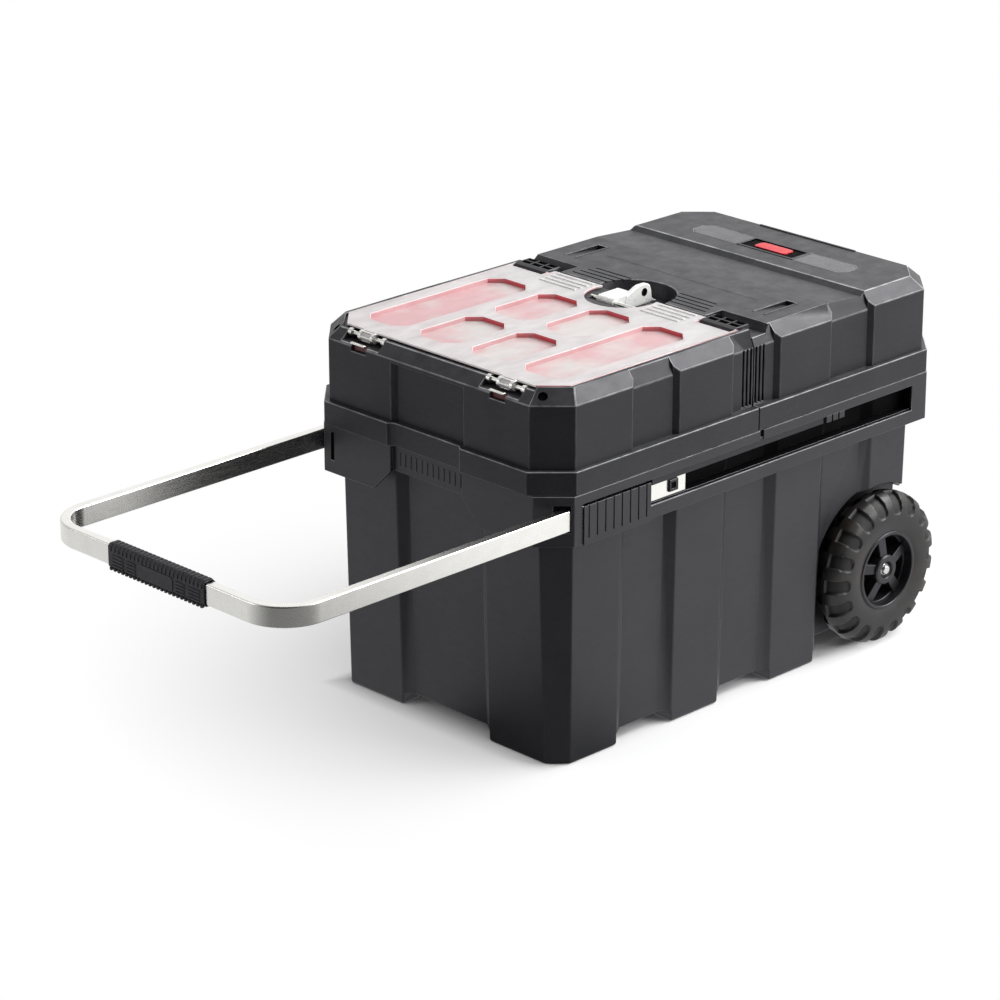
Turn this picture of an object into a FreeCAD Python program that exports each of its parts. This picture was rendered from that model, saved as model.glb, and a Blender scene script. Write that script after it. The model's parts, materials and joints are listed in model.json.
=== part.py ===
import FreeCAD, Part
import Sketcher
import math
import os
import re
from FreeCAD import Placement, Rotation, Vector

# Rolling jobsite box. X runs along the length, with the pull handle at -X and the
# wheels at +X, Y across and Z up from the floor. Sizes are millimetres unless the
# name ends in count, share or angle.

sizes = {
    # tub, measured outside at its top edge
    "tubLength": 572,
    "tubWidth": 340,
    "tubCorner": 25,
    "tubHeight": 301.3,
    "tubEndDraft": 8.7,
    "tubSideDraft": 4,
    "tubCornerDraft": 6,
    "tubWall": 3,
    "tubFloor": 4,
    "floorRise": 13.6,
    "panelDepth": 8,
    "panelSlope": 12,
    "panelWidth": 83,
    "panelPitch": 155,
    "panelCentre": 7,
    "endPanelWidth": 132,
    "footDepth": 26,
    # wheels and axle
    "wheelRadius": 87,
    "wheelWidth": 42,
    "wheelProud": 18,
    "axleSetback": 67,
    "axleRadius": 6,
    "axleFit": 0.06,
    "wellGap": 8,
    "wellClear": 8,
    "tunnelWall": 5,
    "endPlay": 0.3,
    "tyreSeatRadius": 50,
    "tyreShoulder": 9,
    "lugDepth": 5,
    "lugGap": 7,
    "lugCount": 18,
    "hubFaceInset": 10,
    "hubRimWall": 6,
    "hubBarrelWall": 8,
    "hubDisc": 6,
    "hubDiscInset": 16,
    "hubEndInset": 2,
    "spokeCount": 5,
    "spokeInnerRadius": 19,
    "spokeGapInner": 11,
    "spokeGapOuter": 36,
    "spokeRimGap": 3,
    "capRadius": 11,
    "capThickness": 4,
    "capDome": 2.5,
    "capWall": 1.5,
    # rim frame round the tub's mouth
    "rimEndReach": 18,
    "rimWall": 3.2,
    "rimCorner": 30,
    "rimDrop": 50.3,
    "deckThickness": 4,
    "upstandInset": 11,
    "upstandWall": 3,
    "upstandHeight": 22,
    "upstandCorner": 17,
    "frontPanelWidth": 106,
    "frontPanelDepth": 5,
    "frontPanelRise": 26,
    "slotFrontSetback": 42,
    "slotRearSetback": 54,
    "slotAbove": 3.8,
    "entryGap": 1.2,
    "guideThickness": 3,
    "guideGap": 0.3,
    "coverLength": 98,
    "coverThickness": 1.6,
    "coverBelow": 18,
    "coverAbove": 2,
    "coverGrooveCount": 8,
    "coverGrooveWidth": 1.6,
    "coverGrooveDepth": 1,
    "coverMargin": 7,
    # pull handle
    "barThickness": 11,
    "barHeight": 22.4,
    "barWall": 1.5,
    "barInnerGap": 0.5,
    "barSideGap": 0.5,
    "barDrop": 22.3,
    "barBend": 50,
    "barOverlap": 155,
    "handleDraw": 358.5,
    "gripLength": 144,
    "gripWall": 3,
    "gripEdge": 4,
    "pinSide": 13,
    "pinSetback": 20,
    "pinProud": 2.5,
    "pinGap": 0.2,
    # slides under the two top halves
    "slideLift": 2.4,
    "slideHeight": 20,
    "slideDepth": 12.5,
    "slideMargin": 8,
    "slideEndGap": 27,
    "slideOverlap": 60,
    "slideSheet": 1.2,
    "ballGap": 2.8,
    "ballRadius": 1.2,
    "ballPitch": 8,
    "ballCount": 6,
    "cageSheet": 0.7,
    "cageReach": 6.4,
    "cageWebGap": 0.4,
    "railTipGap": 1.7,
    "cageMargin": 3,
    "rivetRadius": 2,
    "rivetGap": 0.1,
    "rivetHead": 1,
    "rivetHeadRadius": 4,
    "rivetSetback": 30,
    "rivetDepth": 8,
    # top halves
    "liftGap": 0.7,
    "skirtHeight": 25.4,
    "skirtSideOverhang": 0.7,
    "skirtEndOverhang": 4,
    "skirtCorner": 36,
    "shellWall": 3,
    "shellSideInset": 5,
    "shellEndInset": 6,
    "shellCorner": 33,
    "shellWallHeight": 67.9,
    "crownRise": 14.7,
    "crownSideInset": 12.5,
    "crownEndInset": 17,
    "crownCorner": 26,
    "splitGap": 1.6,
    "recessDepth": 5,
    "recessSlope": 6,
    "recessDrop": 4.3,
    "recessLip": 0.6,
    "recessStart": 117,
    "recessEnd": 187,
    "splitRecess": 37,
    "endRecessWidth": 108,
    "gripSlotCount": 3,
    "gripSlotWidth": 2.6,
    "gripSlotPitch": 5.8,
    "gripSlotDepth": 5,
    "gripSlotFoot": 2,
    "gripSlotStart": 4,
    # organiser in the front half
    "traySideGap": 4.5,
    "trayFrontGap": 6.5,
    "trayRear": 40,
    "trayWall": 2.5,
    "trayFloor": 3,
    "trayDepth": 64,
    "cavityHeight": 86,
    "binGap": 0.5,
    "binFlange": 3,
    "binFlangeThickness": 2.5,
    "binWall": 1.8,
    "binFloor": 2,
    "binLongWidth": 87.7,
    "binLidGap": 0.4,
    # clear lid
    "lidProud": 0.5,
    "lidThickness": 2.5,
    "lidFrontGap": 2.5,
    "lidSideGap": 0.5,
    "lidCorner": 22,
    "lidSwing": 3,
    "lidRear": 3,
    "lidSeat": 1.2,
    "windowDepth": 5,
    "windowFloor": 2,
    "windowWall": 2,
    "windowCorner": 13,
    "windowWidth": 57.5,
    "windowFrontGap": 20.5,
    "windowRearGap": 21,
    "windowBar": 19,
    "windowInnerGap": 18.7,
    "windowOuterInset": 48.9,
    # lid hinges
    "hingeSideInset": 65.9,
    "hingeLength": 56,
    "hingeSetback": 15.5,
    "hingeDrop": 7,
    "hingePinRadius": 2.5,
    "hingePinEnd": 4,
    "hingeFit": 0.06,
    "knuckleRadius": 5,
    "knuckleLength": 20,
    "hingeNotchDepth": 8,
    "hingeNotchGap": 1.5,
    "hookWindowWidth": 22,
    "hookWindowHeight": 9,
    "hookWindowDrop": 20,
    # lid clips
    "clipWidth": 47,
    "clipSideInset": 2.9,
    "clipPivot": 14,
    "clipTail": 9,
    "clipPivotDrop": 2.5,
    "clipBarrelRadius": 3.2,
    "clipPinRadius": 1.3,
    "clipTop": 1.5,
    "clipThickness": 6.5,
    "clipPocketDepth": 3.5,
    "clipPocketBar": 2,
    "clipClaw": 2.6,
    "clipClawWidth": 3,
    "clipSideGap": 0.3,
    "clipLug": 2,
    "clipRowCount": 3,
    "clipColumnCount": 2,
    "clipNotchFront": 22,
    "clipNotchDepth": 10,
    # hasp
    "haspPivot": 26,
    "haspPivotDrop": 5,
    "haspPinRadius": 2.5,
    "haspKnuckleRadius": 5,
    "haspWidth": 24,
    "haspThickness": 3,
    "haspStrapDrop": 16.4,
    "haspEarFront": 14,
    "haspEarRear": 28,
    "haspEarHeight": 23,
    "haspEarSlope": 6,
    "haspHoleRadius": 4.5,
    "haspHoleX": 19,
    "haspHoleRise": 13.4,
    "haspTailReach": 10,
    "haspNotchWidth": 60,
    "haspNotchFront": 42,
    "haspFloorGap": 0.4,
    # rear half
    "valleyRun": 57,
    "valleyRise": 8,
    "valleySetback": 101,
    "valleyDepth": 4.5,
    "roofThickness": 3.2,
    "bowlRadius": 48,
    "bowlFloorRadius": 44,
    "clipRecessSide": 8,
    "clipRecessReach": 22,
    "clipRecessSlope": 7,
    "clipRecessDepth": 9,
    "rampStart": 49,
    "rampLength": 51,
    "rampInset": 36.4,
    "rampWidth": 14,
    "rampDepth": 5,
    "grooveCount": 4,
    "groovePitch": 9,
    "grooveStart": 10,
    "grooveInner": 45,
    "grooveEndGap": 8,
    "grooveWidth": 2.4,
    "grooveDepth": 1.6,
    "inlayRearGap": 41,
    "inlayLength": 33,
    "inlaySideInset": 55.4,
    "inlayCorner": 9,
    "inlayDepth": 1.8,
    "inlayGap": 0.2,
    "badgeWidth": 82,
    # every cut runs past its face by this much
    "overrun": 2,
}

# places and lengths that follow the sizes above
worked = {
    "rimReach": "tubLength / 2 + rimEndReach",
    "wheelFace": "tubWidth / 2 + wheelProud",
    "axleX": "tubLength / 2 - axleSetback",
    "slotFront": "rimReach - slotFrontSetback",
    "slotRear": "rimReach - slotRearSetback",
    "barMiddle": "tubHeight - barDrop",
    "barRear": "slotFront - barOverlap",
    "handleReach": "rimReach + handleDraw",
    "slideLength": "tubLength / 2 - upstandInset - slideMargin - slideEndGap",
    "slideTravel": "slideLength - slideOverlap",
    "crownReach": "rimReach + skirtEndOverhang - shellEndInset - crownEndInset",
    "rimSide": "tubWidth / 2 + barInnerGap + barThickness + barSideGap + rimWall",
    "crownSide": "rimSide + skirtSideOverhang - shellSideInset - crownSideInset",
    "trayReach": "crownReach - trayFrontGap",
    "traySide": "crownSide - traySideGap",
    "binRow": "(trayReach + trayRear) / 2",
    "binColumn": "traySide - binLongWidth",
    "windowFront": "trayReach - windowFrontGap",
    "windowRear": "trayRear + windowRearGap",
    "windowColumnOuter": "traySide - windowOuterInset",
    "windowColumnInner": "binColumn / 2",
    "windowInnerWidth": "binColumn - windowInnerGap",
    "hingeSide": "crownSide - hingeSideInset",
    "clipOuter": "traySide - clipSideInset",
    "clipInner": "clipOuter - clipWidth",
    "clipRecessInner": "clipInner - clipRecessSide",
    "rampInner": "crownSide - rampInset",
    "grooveLength": "clipRecessInner - grooveInner - grooveEndGap",
    "valleyEnd": "crownReach - valleySetback",
    "valleyLow": "valleyEnd - valleyRise",
    "valleyStart": "valleyLow - valleyRun",
    "inlayFront": "crownReach - inlayRearGap - inlayLength",
    "inlayReach": "crownSide - inlaySideInset",
}

doc = FreeCAD.newDocument("jobsite_box")
sheet = doc.addObject("Spreadsheet::Sheet", "Sizes")
for row, (name, size) in enumerate(sizes.items(), start=1):
    sheet.set(f"A{row}", name)
    sheet.set(f"B{row}", str(size))
    sheet.setAlias(f"B{row}", name)
doc.recompute()

words = re.compile(r"[A-Za-z][A-Za-z0-9]*")
nodes = []


def bound(text):
    def written(word):
        if word[0] in worked:
            return f"({bound(worked[word[0]])})"
        return f"Sizes.{word[0]}" if word[0] in sizes else word[0]

    return words.sub(written, str(text))


def bind(thing, places):
    for place, text in places.items():
        thing.setExpression(place, bound(text))


def node(label, piece):
    piece.Label = label
    nodes.append(piece)
    return piece


# heights and reaches that several pieces share, each worked out from the sizes above
rimTop = "(tubHeight + deckThickness)"
rimBottom = f"({rimTop} - rimDrop - deckThickness)"
rimHalfLength = "rimReach"
barInner = "(tubWidth / 2 + barInnerGap)"
barOuter = f"({barInner} + barThickness)"
rimInner = f"({barOuter} + barSideGap)"
rimHalfWidth = "rimSide"
skirtHalfLength = f"({rimHalfLength} + skirtEndOverhang)"
skirtHalfWidth = f"({rimHalfWidth} + skirtSideOverhang)"
skirtBottom = f"({rimTop} + liftGap)"
skirtTop = f"({skirtBottom} + skirtHeight)"
shellHalfLength = f"({skirtHalfLength} - shellEndInset)"
shellHalfWidth = f"({skirtHalfWidth} - shellSideInset)"
crownBase = f"({skirtTop} + shellWallHeight)"
frontTop = f"({crownBase} + crownRise)"
crownHalfLength = "crownReach"
crownHalfWidth = "crownSide"
barBottom = "(barMiddle - barHeight / 2)"
barTop = "(barMiddle + barHeight / 2)"
upstandOuterY = "(tubWidth / 2 - upstandInset)"
upstandOuterX = "(tubLength / 2 - upstandInset)"
slideBottom = f"({rimTop} + slideLift)"
slideTop = f"({slideBottom} + slideHeight)"
railFace = f"({upstandOuterY} + slideDepth)"
railInset = "(slideSheet + ballGap)"
halfSplit = "(splitGap / 2)"

# the model's origin lies under the middle of its whole length, handle drawn out
shift = f"(handleReach + gripWall - ({skirtHalfLength})) / 2"

planes = {
    "xy": (Rotation(), "z", +1),
    "xz": (Rotation(Vector(1, 0, 0), 90), "y", -1),
    "yz": (Rotation(Vector(1, 1, 1), 120), "x", +1),
}
turns = {
    "x": (Rotation(Vector(0, 1, 0), 90), "yz"),
    "y": (Rotation(Vector(1, 0, 0), -90), "xz"),
    "z": (Rotation(), "xy"),
}


def place(thing, at):
    spots = {"x": shift, **at}
    if "x" in at:
        spots["x"] = f"({at['x']}) + {shift}"
    bind(thing, {f"Placement.Base.{axis}": text for axis, text in spots.items()})


def box(x, y, z):
    block = doc.addObject("Part::Box", "Block")
    bind(block, {
        "Length": f"({x[1]}) - ({x[0]})",
        "Width": f"({y[1]}) - ({y[0]})",
        "Height": f"({z[1]}) - ({z[0]})",
    })
    place(block, {"x": x[0], "y": y[0], "z": z[0]})
    return block


def rod(axis, centre, span, radius):
    turn, others = turns[axis]
    bar = doc.addObject("Part::Cylinder", "Rod")
    bar.Placement = Placement(Vector(), turn)
    bind(bar, {"Radius": radius, "Height": f"({span[1]}) - ({span[0]})"})
    place(bar, {others[0]: centre[0], others[1]: centre[1], axis: span[0]})
    return bar


def draw(sketch, points):
    count = len(points)
    starts = [Vector(math.cos(2 * math.pi * i / count), math.sin(2 * math.pi * i / count))
              for i in range(count)]
    sides = [Part.LineSegment(starts[i], starts[(i + 1) % count]) for i in range(count)]
    sketch.addGeometry(sides)
    ties = [Sketcher.Constraint("Coincident", i, 2, (i + 1) % count, 1) for i in range(count)]
    for i, start in enumerate(starts):
        ties.append(Sketcher.Constraint("DistanceX", -1, 1, i, 1, start.x))
        ties.append(Sketcher.Constraint("DistanceY", -1, 1, i, 1, start.y))
    sketch.addConstraint(ties)
    for i, point in enumerate(points):
        for j, text in enumerate(point):
            sketch.setExpression(f"Constraints[{count + 2 * i + j}]", bound(text))


def outline(plane, points, height):
    turn, axis = planes[plane][:2]
    sketch = doc.addObject("Sketcher::SketchObject", "Outline")
    sketch.Placement = Placement(Vector(), turn)
    place(sketch, {axis: height})
    draw(sketch, points)
    return sketch


def prism(plane, points, span):
    way = planes[plane][2]
    solid = doc.addObject("Part::Extrusion", "Prism")
    solid.Base = outline(plane, points, span[0] if way > 0 else span[1])
    solid.DirMode = "Normal"
    solid.Solid = True
    bind(solid, {"LengthFwd": f"({span[1]}) - ({span[0]})"})
    return solid


def loft(lower, upper):
    solid = doc.addObject("Part::Loft", "Loft")
    solid.Sections = [lower, upper]
    solid.Solid = True
    solid.Ruled = True
    return solid


def fuse(*pieces):
    if len(pieces) == 1:
        return pieces[0]
    joined = doc.addObject("Part::MultiFuse", "Joined")
    joined.Shapes = list(pieces)
    return joined


def cut(base, *tools):
    piece = doc.addObject("Part::Cut", "Cut")
    piece.Base = base
    piece.Tool = fuse(*tools)
    return piece


def common(first, second):
    piece = doc.addObject("Part::Common", "Common")
    piece.Base = first
    piece.Tool = second
    return piece


def group(pieces):
    piece = doc.addObject("Part::Compound", "Group")
    piece.Links = list(pieces)
    return piece


def mirror(piece, normal):
    other = doc.addObject("Part::Mirroring", "Mirrored")
    other.Source = piece
    other.Normal = normal
    bind(other, {"Base.x": shift})
    return other


def across(piece):
    return mirror(piece, Vector(0, 1, 0))


def endways(piece):
    return mirror(piece, Vector(1, 0, 0))


def both(piece):
    return [piece, across(piece)]


def octagon(halfLength, halfWidth, corner):
    x, y, c = f"({halfLength})", f"({halfWidth})", f"({corner})"
    return [
        (f"-{x} + {c}", f"-{y}"), (f"{x} - {c}", f"-{y}"), (x, f"-{y} + {c}"), (x, f"{y} - {c}"),
        (f"{x} - {c}", y), (f"-{x} + {c}", y), (f"-{x}", f"{y} - {c}"), (f"-{x}", f"-{y} + {c}"),
    ]


def half_outline(end, halfLength, halfWidth, corner):
    x, y, c = f"({halfLength})", f"({halfWidth})", f"({corner})"
    return [
        (f"{end} * {halfSplit}", f"-{y}"), (f"{end} * ({x} - {c})", f"-{y}"),
        (f"{end} * {x}", f"-{y} + {c}"), (f"{end} * {x}", f"{y} - {c}"),
        (f"{end} * ({x} - {c})", y), (f"{end} * {halfSplit}", y),
    ]


# Tub: a drafted box with sunk panels between pilasters that reach the floor as feet
def tub():
    baseHalfLength = "(tubLength / 2 - tubEndDraft)"
    baseHalfWidth = "(tubWidth / 2 - tubSideDraft)"
    baseCorner = "tubCorner - tubCornerDraft"
    levels = (("0", baseHalfLength, baseHalfWidth), ("tubHeight", "(tubLength / 2)", "(tubWidth / 2)"))
    block = loft(
        outline("xy", octagon(baseHalfLength, baseHalfWidth, baseCorner), 0),
        outline("xy", octagon("tubLength / 2", "tubWidth / 2", "tubCorner"), "tubHeight"),
    )
    room = loft(
        outline("xy", octagon(f"{baseHalfLength} - tubWall", f"{baseHalfWidth} - tubWall", baseCorner),
                "floorRise + tubFloor"),
        outline("xy", octagon("tubLength / 2 - tubWall", "tubWidth / 2 - tubWall", "tubCorner"),
                "tubHeight + overrun"),
    )

    def side_panel(middle, grow):
        wide, narrow = f"panelWidth / 2 + panelSlope + {grow}", f"panelWidth / 2 - panelSlope + {grow}"
        return both(loft(*[outline("xy", [
            (f"{middle} - ({wide})", f"-{face} - panelDepth"),
            (f"{middle} + {wide}", f"-{face} - panelDepth"),
            (f"{middle} + {narrow}", f"-{face} + panelDepth + {grow}"),
            (f"{middle} - ({narrow})", f"-{face} + panelDepth + {grow}"),
        ], height) for height, reach, face in levels]))

    def end_panel(end, grow):
        wide = f"endPanelWidth / 2 + panelSlope + {grow}"
        narrow = f"endPanelWidth / 2 - panelSlope + {grow}"
        return loft(*[outline("xy", [
            (f"{end} * ({face} + panelDepth)", f"-({wide})"), (f"{end} * ({face} + panelDepth)", wide),
            (f"{end} * ({face} - panelDepth - {grow})", narrow),
            (f"{end} * ({face} - panelDepth - {grow})", f"-({narrow})"),
        ], height) for height, face, reach in levels])

    panels, backs = [], []
    toes = [prism("xy", octagon(f"{baseHalfLength} - footDepth", f"{baseHalfWidth} - footDepth",
                                baseCorner), ("-overrun", "floorRise"))]
    for step in (-1, 0, 1):
        middle = f"(panelCentre + {step} * panelPitch)"
        panels += side_panel(middle, "0")
        backs += side_panel(middle, "tubWall")
        toes += both(box((f"{middle} - panelWidth / 2", f"{middle} + panelWidth / 2"),
                         ("-tubWidth / 2", f"-{baseHalfWidth} + footDepth + tubWall"),
                         ("-overrun", "floorRise")))
    for end in (-1, 1):
        panels.append(end_panel(end, "0"))
        backs.append(end_panel(end, "tubWall"))
    toes.append(box(("-tubLength / 2", f"-{baseHalfLength} + footDepth + tubWall"),
                    ("-endPanelWidth / 2", "endPanelWidth / 2"), ("-overrun", "floorRise")))
    hollow = cut(room, *backs)
    wellInner = "(wheelFace - wheelWidth - wellClear)"
    archRadius = "wheelRadius + wellGap"

    def well(wall):
        inner = f"{wellInner} - {wall}"
        radius = f"{archRadius} + {wall}"
        return [
            rod("y", ("axleX", "wheelRadius"), ("-wheelFace - overrun", f"-({inner})"), radius),
            box((f"axleX - ({radius})", "tubLength / 2 + overrun"),
                ("-wheelFace - overrun", f"-({inner})"), ("-overrun", "wheelRadius")),
        ]

    wellWalls = common(block, fuse(*well("tubWall")))
    wells = fuse(*well("0"))
    boss = "axleRadius + tunnelWall"
    hubInner = "wheelFace - wheelWidth + hubEndInset - endPlay"
    tunnel = rod("y", ("axleX", "wheelRadius"), (f"-({wellInner}) - tubWall / 2",
                                                 f"{wellInner} + tubWall / 2"), boss)
    spacer = rod("y", ("axleX", "wheelRadius"), (f"-({hubInner})", f"-({wellInner}) + tubWall / 2"), boss)
    bore = rod("y", ("axleX", "wheelRadius"), ("-wheelFace", "wheelFace"), "axleRadius")
    shell = cut(fuse(cut(block, hollow), *both(wellWalls)), *panels, *both(wells), *toes)
    node("tub_shell", cut(fuse(shell, tunnel, *both(spacer)), bore))


# Rim frame: deck, outer wall with the handle's slots, and the upstand that carries the slides
def rim_frame():
    wall = prism("xy", octagon(rimHalfLength, rimHalfWidth, "rimCorner"), (rimBottom, rimTop))
    inside = prism("xy", octagon(f"{rimHalfLength} - rimWall", rimInner, "rimCorner"),
                   (f"{rimBottom} - overrun", "tubHeight"))
    upstand = prism("xy", octagon(upstandOuterX, upstandOuterY, "upstandCorner"),
                    (f"{rimTop} - deckThickness / 2", f"{rimTop} + upstandHeight"))
    mouth = prism("xy", octagon(f"{upstandOuterX} - upstandWall", f"{upstandOuterY} - upstandWall",
                                "upstandCorner"),
                  ("tubHeight - overrun", f"{rimTop} + upstandHeight + overrun"))
    guide = box(("-slotFront - rimWall", "slotRear + rimWall"),
                (f"-({rimInner}) - rimWall / 2", "-tubWidth / 2 - guideGap"),
                (f"{barBottom} - guideGap - guideThickness", f"{barBottom} - guideGap"))
    slot = box(("-slotFront", "slotRear"), (f"-({rimHalfWidth}) - overrun", f"-({rimInner})"),
               (f"{barBottom} - guideGap - guideThickness / 2", f"{barTop} + slotAbove"))
    entry = box((f"-({rimHalfLength}) - overrun", "-slotFront + overrun"),
                (f"-({barOuter}) - barSideGap", f"-({barInner}) + entryGap"),
                (f"{barBottom} - entryGap", f"{barTop} + entryGap"))
    panel = "frontPanelWidth / 2"
    backing = box((f"-({rimHalfLength}) + rimWall / 2", f"-({rimHalfLength}) + frontPanelDepth + rimWall"),
                  (f"-{panel} - rimWall", f"{panel} + rimWall"),
                  (f"{rimBottom} + frontPanelRise", "tubHeight"))
    sunk = box((f"-({rimHalfLength}) - overrun", f"-({rimHalfLength}) + frontPanelDepth"),
               (f"-{panel}", panel), (f"{rimBottom} + frontPanelRise", f"{rimTop} + overrun"))
    arch = prism("yz", [
        (f"-{panel} - frontPanelRise - overrun", f"{rimBottom} - overrun"),
        (f"{panel} + frontPanelRise + overrun", f"{rimBottom} - overrun"),
        (panel, f"{rimBottom} + frontPanelRise"),
        (f"-{panel}", f"{rimBottom} + frontPanelRise"),
    ], (f"-({rimHalfLength}) - overrun", f"-({rimHalfLength}) + rimWall + overrun"))
    frame = cut(fuse(cut(wall, inside), upstand, backing, *both(guide)),
                mouth, sunk, arch, *both(slot), *both(entry), *channel_holes())
    node("rim_frame", frame)
    cover = box(("-slotFront", "-slotFront + coverLength"),
                (f"-({rimHalfWidth}) - coverThickness", f"-({rimHalfWidth})"),
                (f"{barBottom} - coverBelow", f"{barTop} + coverAbove"))
    grooves = []
    pitch = "(coverLength - 2 * coverMargin) / (coverGrooveCount - 1)"
    for step in range(sizes["coverGrooveCount"]):
        middle = f"-slotFront + coverMargin + {step} * {pitch}"
        grooves.append(box((f"{middle} - coverGrooveWidth / 2", f"{middle} + coverGrooveWidth / 2"),
                           (f"-({rimHalfWidth}) - coverThickness - overrun",
                            f"-({rimHalfWidth}) - coverThickness + coverGrooveDepth"),
                           (f"{barBottom} - coverBelow + coverMargin", f"{barTop} + coverAbove + overrun")))
    cover = node("channel_cover_right", cut(cover, *grooves))
    node("channel_cover_left", across(cover))


# Ball slides: a fixed channel on the upstand, a rail under each half, a caged row of balls between
slideFront = "slideMargin + slideLength"
rivetSpots = (f"-({slideFront}) + rivetSetback", "-slideMargin - rivetSetback")
slideMiddle = f"{slideBottom} + slideHeight / 2"


def channel_holes():
    holes = []
    for x in rivetSpots:
        hole = rod("y", (x, slideMiddle), (f"-({upstandOuterY}) - slideSheet - overrun",
                                           f"-({upstandOuterY}) + upstandWall + overrun"),
                   "rivetRadius + rivetGap")
        holes += both(hole) + both(endways(hole))
    return holes


def slides():
    web = f"-({upstandOuterY})"
    channel = cut(
        box((f"-({slideFront})", "-slideMargin"), (f"-({railFace})", web), (slideBottom, slideTop)),
        box((f"-({slideFront}) - overrun", "-slideMargin + overrun"),
            (f"-({railFace}) - overrun", f"{web} - slideSheet"),
            (f"{slideBottom} + slideSheet", f"{slideTop} - slideSheet")),
        *[rod("y", (x, slideMiddle), (f"{web} - slideSheet - overrun", f"{web} + overrun"),
              "rivetRadius + rivetGap") for x in rivetSpots],
    )
    rail = cut(
        box((f"-({slideFront})", "-slideMargin"), (f"-({railFace})", f"{web} - slideSheet - railTipGap"),
            (f"{slideBottom} + {railInset}", f"{slideTop} - ({railInset})")),
        box((f"-({slideFront}) - overrun", "-slideMargin + overrun"),
            (f"-({railFace}) + slideSheet", f"{web} - slideSheet - railTipGap + overrun"),
            (f"{slideBottom} + {railInset} + slideSheet", f"{slideTop} - ({railInset}) - slideSheet")),
        *[rod("y", (x, slideMiddle), (f"-({railFace}) - overrun", f"-({railFace}) + slideSheet + overrun"),
              "rivetRadius + rivetGap") for x in rivetSpots],
    )
    middle = "-slideMargin - slideLength / 2"
    reach = "(slideLength - slideTravel) / 2 - cageMargin"
    ballY = f"{web} - slideSheet - cageWebGap - cageReach + ballRadius + cageSheet"
    lower = f"{slideBottom} + slideSheet + ballGap / 2"
    upper = f"{slideTop} - slideSheet - ballGap / 2"
    cageWeb = f"{web} - slideSheet - cageWebGap"
    sheets = [box((f"{middle} - ({reach})", f"{middle} + {reach}"), (f"{cageWeb} - cageSheet", cageWeb),
                  (f"{lower} - cageSheet / 2", f"{upper} + cageSheet / 2"))]
    balls = []
    for height in (lower, upper):
        sheets.append(box((f"{middle} - ({reach})", f"{middle} + {reach}"),
                          (f"{cageWeb} - cageReach", f"{cageWeb} - cageSheet / 2"),
                          (f"{height} - cageSheet / 2", f"{height} + cageSheet / 2")))
        for step in range(sizes["ballCount"]):
            ball = doc.addObject("Part::Sphere", "Ball")
            bind(ball, {"Radius": "ballRadius"})
            place(ball, {"x": f"{middle} + ({step} - (ballCount - 1) / 2) * ballPitch",
                         "y": ballY, "z": height})
            balls.append(ball)
    cage = fuse(*sheets, *balls)
    rivets = []
    railRivets = []
    for x in rivetSpots:
        rivet = fuse(
            rod("y", (x, slideMiddle), (f"{web} - slideSheet", f"{web} + upstandWall + rivetHead / 2"),
                "rivetRadius"),
            rod("y", (x, slideMiddle), (f"{web} + upstandWall", f"{web} + upstandWall + rivetHead"),
                "rivetHeadRadius"),
        )
        rivets += both(rivet) + both(endways(rivet))
        railRivets.append(rod("y", (x, slideMiddle), (f"-({railFace}) - rivetDepth",
                                                     f"-({railFace}) + slideSheet"), "rivetRadius"))
    for name, piece in (("slide_channel", channel), ("slide_rail", rail), ("ball_cage", cage)):
        node(f"{name}_front_right", piece)
        node(f"{name}_front_left", across(piece))
        node(f"{name}_rear_right", endways(piece))
        node(f"{name}_rear_left", across(endways(piece)))
    node("channel_rivets", group(rivets))
    frontRivets = node("rail_rivets_front", group([one for rivet in railRivets for one in both(rivet)]))
    node("rail_rivets_rear", endways(frontRivets))


def rail_rib():
    rib = cut(
        box((f"-({slideFront})", "-slideMargin"),
            (f"-({skirtHalfWidth}) + shellWall / 2", f"-({railFace})"),
            (f"{slideBottom} + {railInset}", f"{slideTop} - ({railInset})")),
        *[rod("y", (x, slideMiddle), (f"-({railFace}) - rivetDepth - rivetGap", f"-({railFace}) + overrun"),
              "rivetRadius + rivetGap") for x in rivetSpots],
    )
    return both(rib)


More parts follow.
